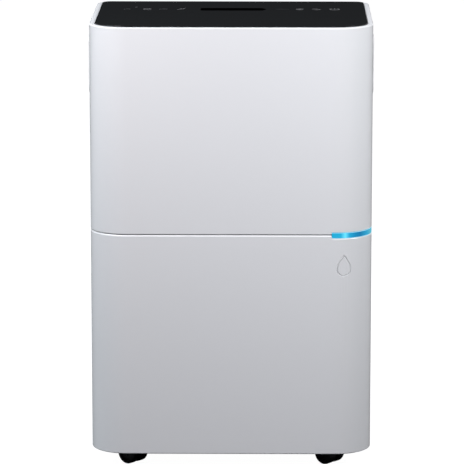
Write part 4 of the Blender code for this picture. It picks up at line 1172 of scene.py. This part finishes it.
def float_arm():
    """The float, its arm and the pin that the arm turns on."""
    x, y, z = spans("bucket_float")
    body = block("float_foam", x, (y[0], y[0] + 0.036), (z[0], z[0] + 0.018), "foam", "bucket_float", 0.0035)
    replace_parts(body, "bucket_float")
    middle = sum(x) / 2
    arm_y, arm_z = (y[0] + 0.018, FLOAT_PIVOT.y + 0.003), (z[0] + 0.016, FLOAT_PIVOT.z + 0.0026)
    block("float_arm", about(middle, 0.004), arm_y, arm_z, "grey", "bucket_float", 0.0008)
    start = (middle - 0.016, FLOAT_PIVOT.y, FLOAT_PIVOT.z)
    rod("float_pin", start, (1, 0, 0), 0.003, 0.032, "grey", "bucket_float", 28)


# --- studio ---

SKY = (
    (0.0, 0.016, 0.0165, 0.018),
    (0.30, 0.020, 0.0204, 0.0216),
    (0.50, 0.10, 0.102, 0.108),
    (0.75, 0.15, 0.153, 0.162),
    (1.0, 0.18, 0.184, 0.194),
)  # the height of a direction, and its light's red, green and blue
FRONT_AIM, BACK_AIM = (0.0, -0.1, 0.35), (0.0, 0.1, 0.3)
LIGHTS = (
    ("key", (-0.7, -0.8, 1.6), FRONT_AIM, 0.5, 18.2, (0.995, 0.955, 1.0)),
    ("left", (-2.2, -0.4, 2.6), FRONT_AIM, 1.0, 48.0, (0.80, 0.94, 1.0)),
    ("right", (1.6, -0.8, 1.6), FRONT_AIM, 0.7, 15.6, (1.0, 0.97, 0.99)),
    ("near_right", (0.7, -0.8, 0.95), FRONT_AIM, 0.3, 6.2, (0.93, 0.965, 1.0)),
    ("near_left", (-0.4, -0.4, 0.75), FRONT_AIM, 0.25, 0.34, (1.0, 0.94, 0.93)),
    ("back_left", (-1.4, 1.9, 1.3), BACK_AIM, 1.0, 28.0, (1.0, 1.0, 1.0)),
    ("back_right", (1.6, 1.8, 1.3), BACK_AIM, 1.0, 24.0, (1.0, 1.0, 1.0)),
)  # name, place, aim, size in metres, watts, colour
MIRRORED_LIGHTS = ("key", "left", "right")  # the rest would show as white panes in the top


def studio():
    scene = bpy.context.scene
    scene.view_settings.view_transform = "Standard"
    scene.view_settings.look = "None"
    sky()
    floor()
    for name, place, aim, size, power, colour in LIGHTS:
        data = bpy.data.lights.new(name, "AREA")
        data.shape = "RECTANGLE"
        data.size = data.size_y = size
        data.energy = power
        data.color = colour
        lamp = bpy.data.objects.new(name, data)
        bpy.context.scene.collection.objects.link(lamp)
        lamp.visible_camera = False
        lamp.visible_glossy = name in MIRRORED_LIGHTS
        lamp.location = place
        lamp.rotation_euler = (Vector(aim) - Vector(place)).to_track_quat("-Z", "Y").to_euler()


def sky():
    """White to the eye, and a soft light from above to the object."""
    world = bpy.data.worlds.new("studio")
    bpy.context.scene.world = world
    world.use_nodes = True
    world.node_tree.nodes.clear()
    graph = Graph(world.node_tree)
    split = graph.node("ShaderNodeSeparateXYZ")
    graph.link(graph.node("ShaderNodeTexCoord").outputs["Generated"], split.inputs["Vector"])
    ramp = graph.node("ShaderNodeValToRGB")
    fill_ramp(ramp, SKY)
    graph.link(split.outputs["Z"], ramp.inputs["Fac"])
    light = graph.node("ShaderNodeBackground")
    graph.link(ramp.outputs["Color"], light.inputs["Color"])
    seen = graph.node("ShaderNodeBackground", {"Color": (1.0, 1.0, 1.0, 1.0)})
    graph.output(light.outputs["Background"], seen.outputs["Background"], graph.node("ShaderNodeOutputWorld"))


def floor():
    """A white sweep: nearly shadowless to the eye, and a quiet grey to what the object reflects."""
    mesh = bpy.data.meshes.new("floor")
    reach = 14.0
    corners = [(-reach, -reach, 0), (reach, -reach, 0), (reach, reach, 0), (-reach, reach, 0)]
    mesh.from_pydata(corners, [], [(0, 1, 2, 3)])
    plane = bpy.data.objects.new("floor", mesh)
    bpy.context.scene.collection.objects.link(plane)
    look = Look("floor_white", (0.085, 0.087, 0.092), 0.9)
    glow = look.node("ShaderNodeEmission", {"Color": (1.0, 1.0, 1.0, 1.0), "Strength": 0.99})
    both = look.node("ShaderNodeAddShader")
    usual = look.shader.outputs["BSDF"]
    look.link(usual, both.inputs[0])
    look.link(glow.outputs["Emission"], both.inputs[1])
    look.output(usual, both.outputs["Shader"], look.tree.nodes["Material Output"])
    mesh.materials.append(look.made)


# --- carried-over nodes ---

NODE_LOOKS = {
    "white_plastic": "white",
    "grey_plastic": "grey",
    "tub_plastic": "tub",
    "black_gloss": "black",
    "cyan_light": "bar",
    "filter_grey": "net",
    "float_foam": "foam",
    "board_green": "board",
    "screw_steel": "steel",
    "fin_aluminium": "fins",
    "copper": "copper",
    "compressor_black": "can",
    "motor_steel": "steel",
    "fan_plastic": "fan",
    "rubber": "rubber",
    "caster_black": "nylon",
    "switch_black": "nylon",
}


def dress_nodes():
    """Every CAD node that still shows gets its slot's finished material."""
    slots = {row["node"]: row["material_slot"] for row in frame["record"]["subparts"]}
    for node, made in frame["nodes"].items():
        look = LOOKS[NODE_LOOKS[slots[node]]]
        if not made.data.materials:
            made.data.materials.append(None)
        for slot in made.material_slots:
            slot.link = "OBJECT"
            slot.material = look


add_camera()
dress_nodes()
upper_front()
bucket_front()
seam_light()
top()
rear_housing()
grips()
intake()
filter_net()
outlet()
drain()
cord_gland()
for screw_name in REAR_SCREWS:
    screw(screw_name)
casters()
tub()
lid()
bail()
float_arm()
studio()
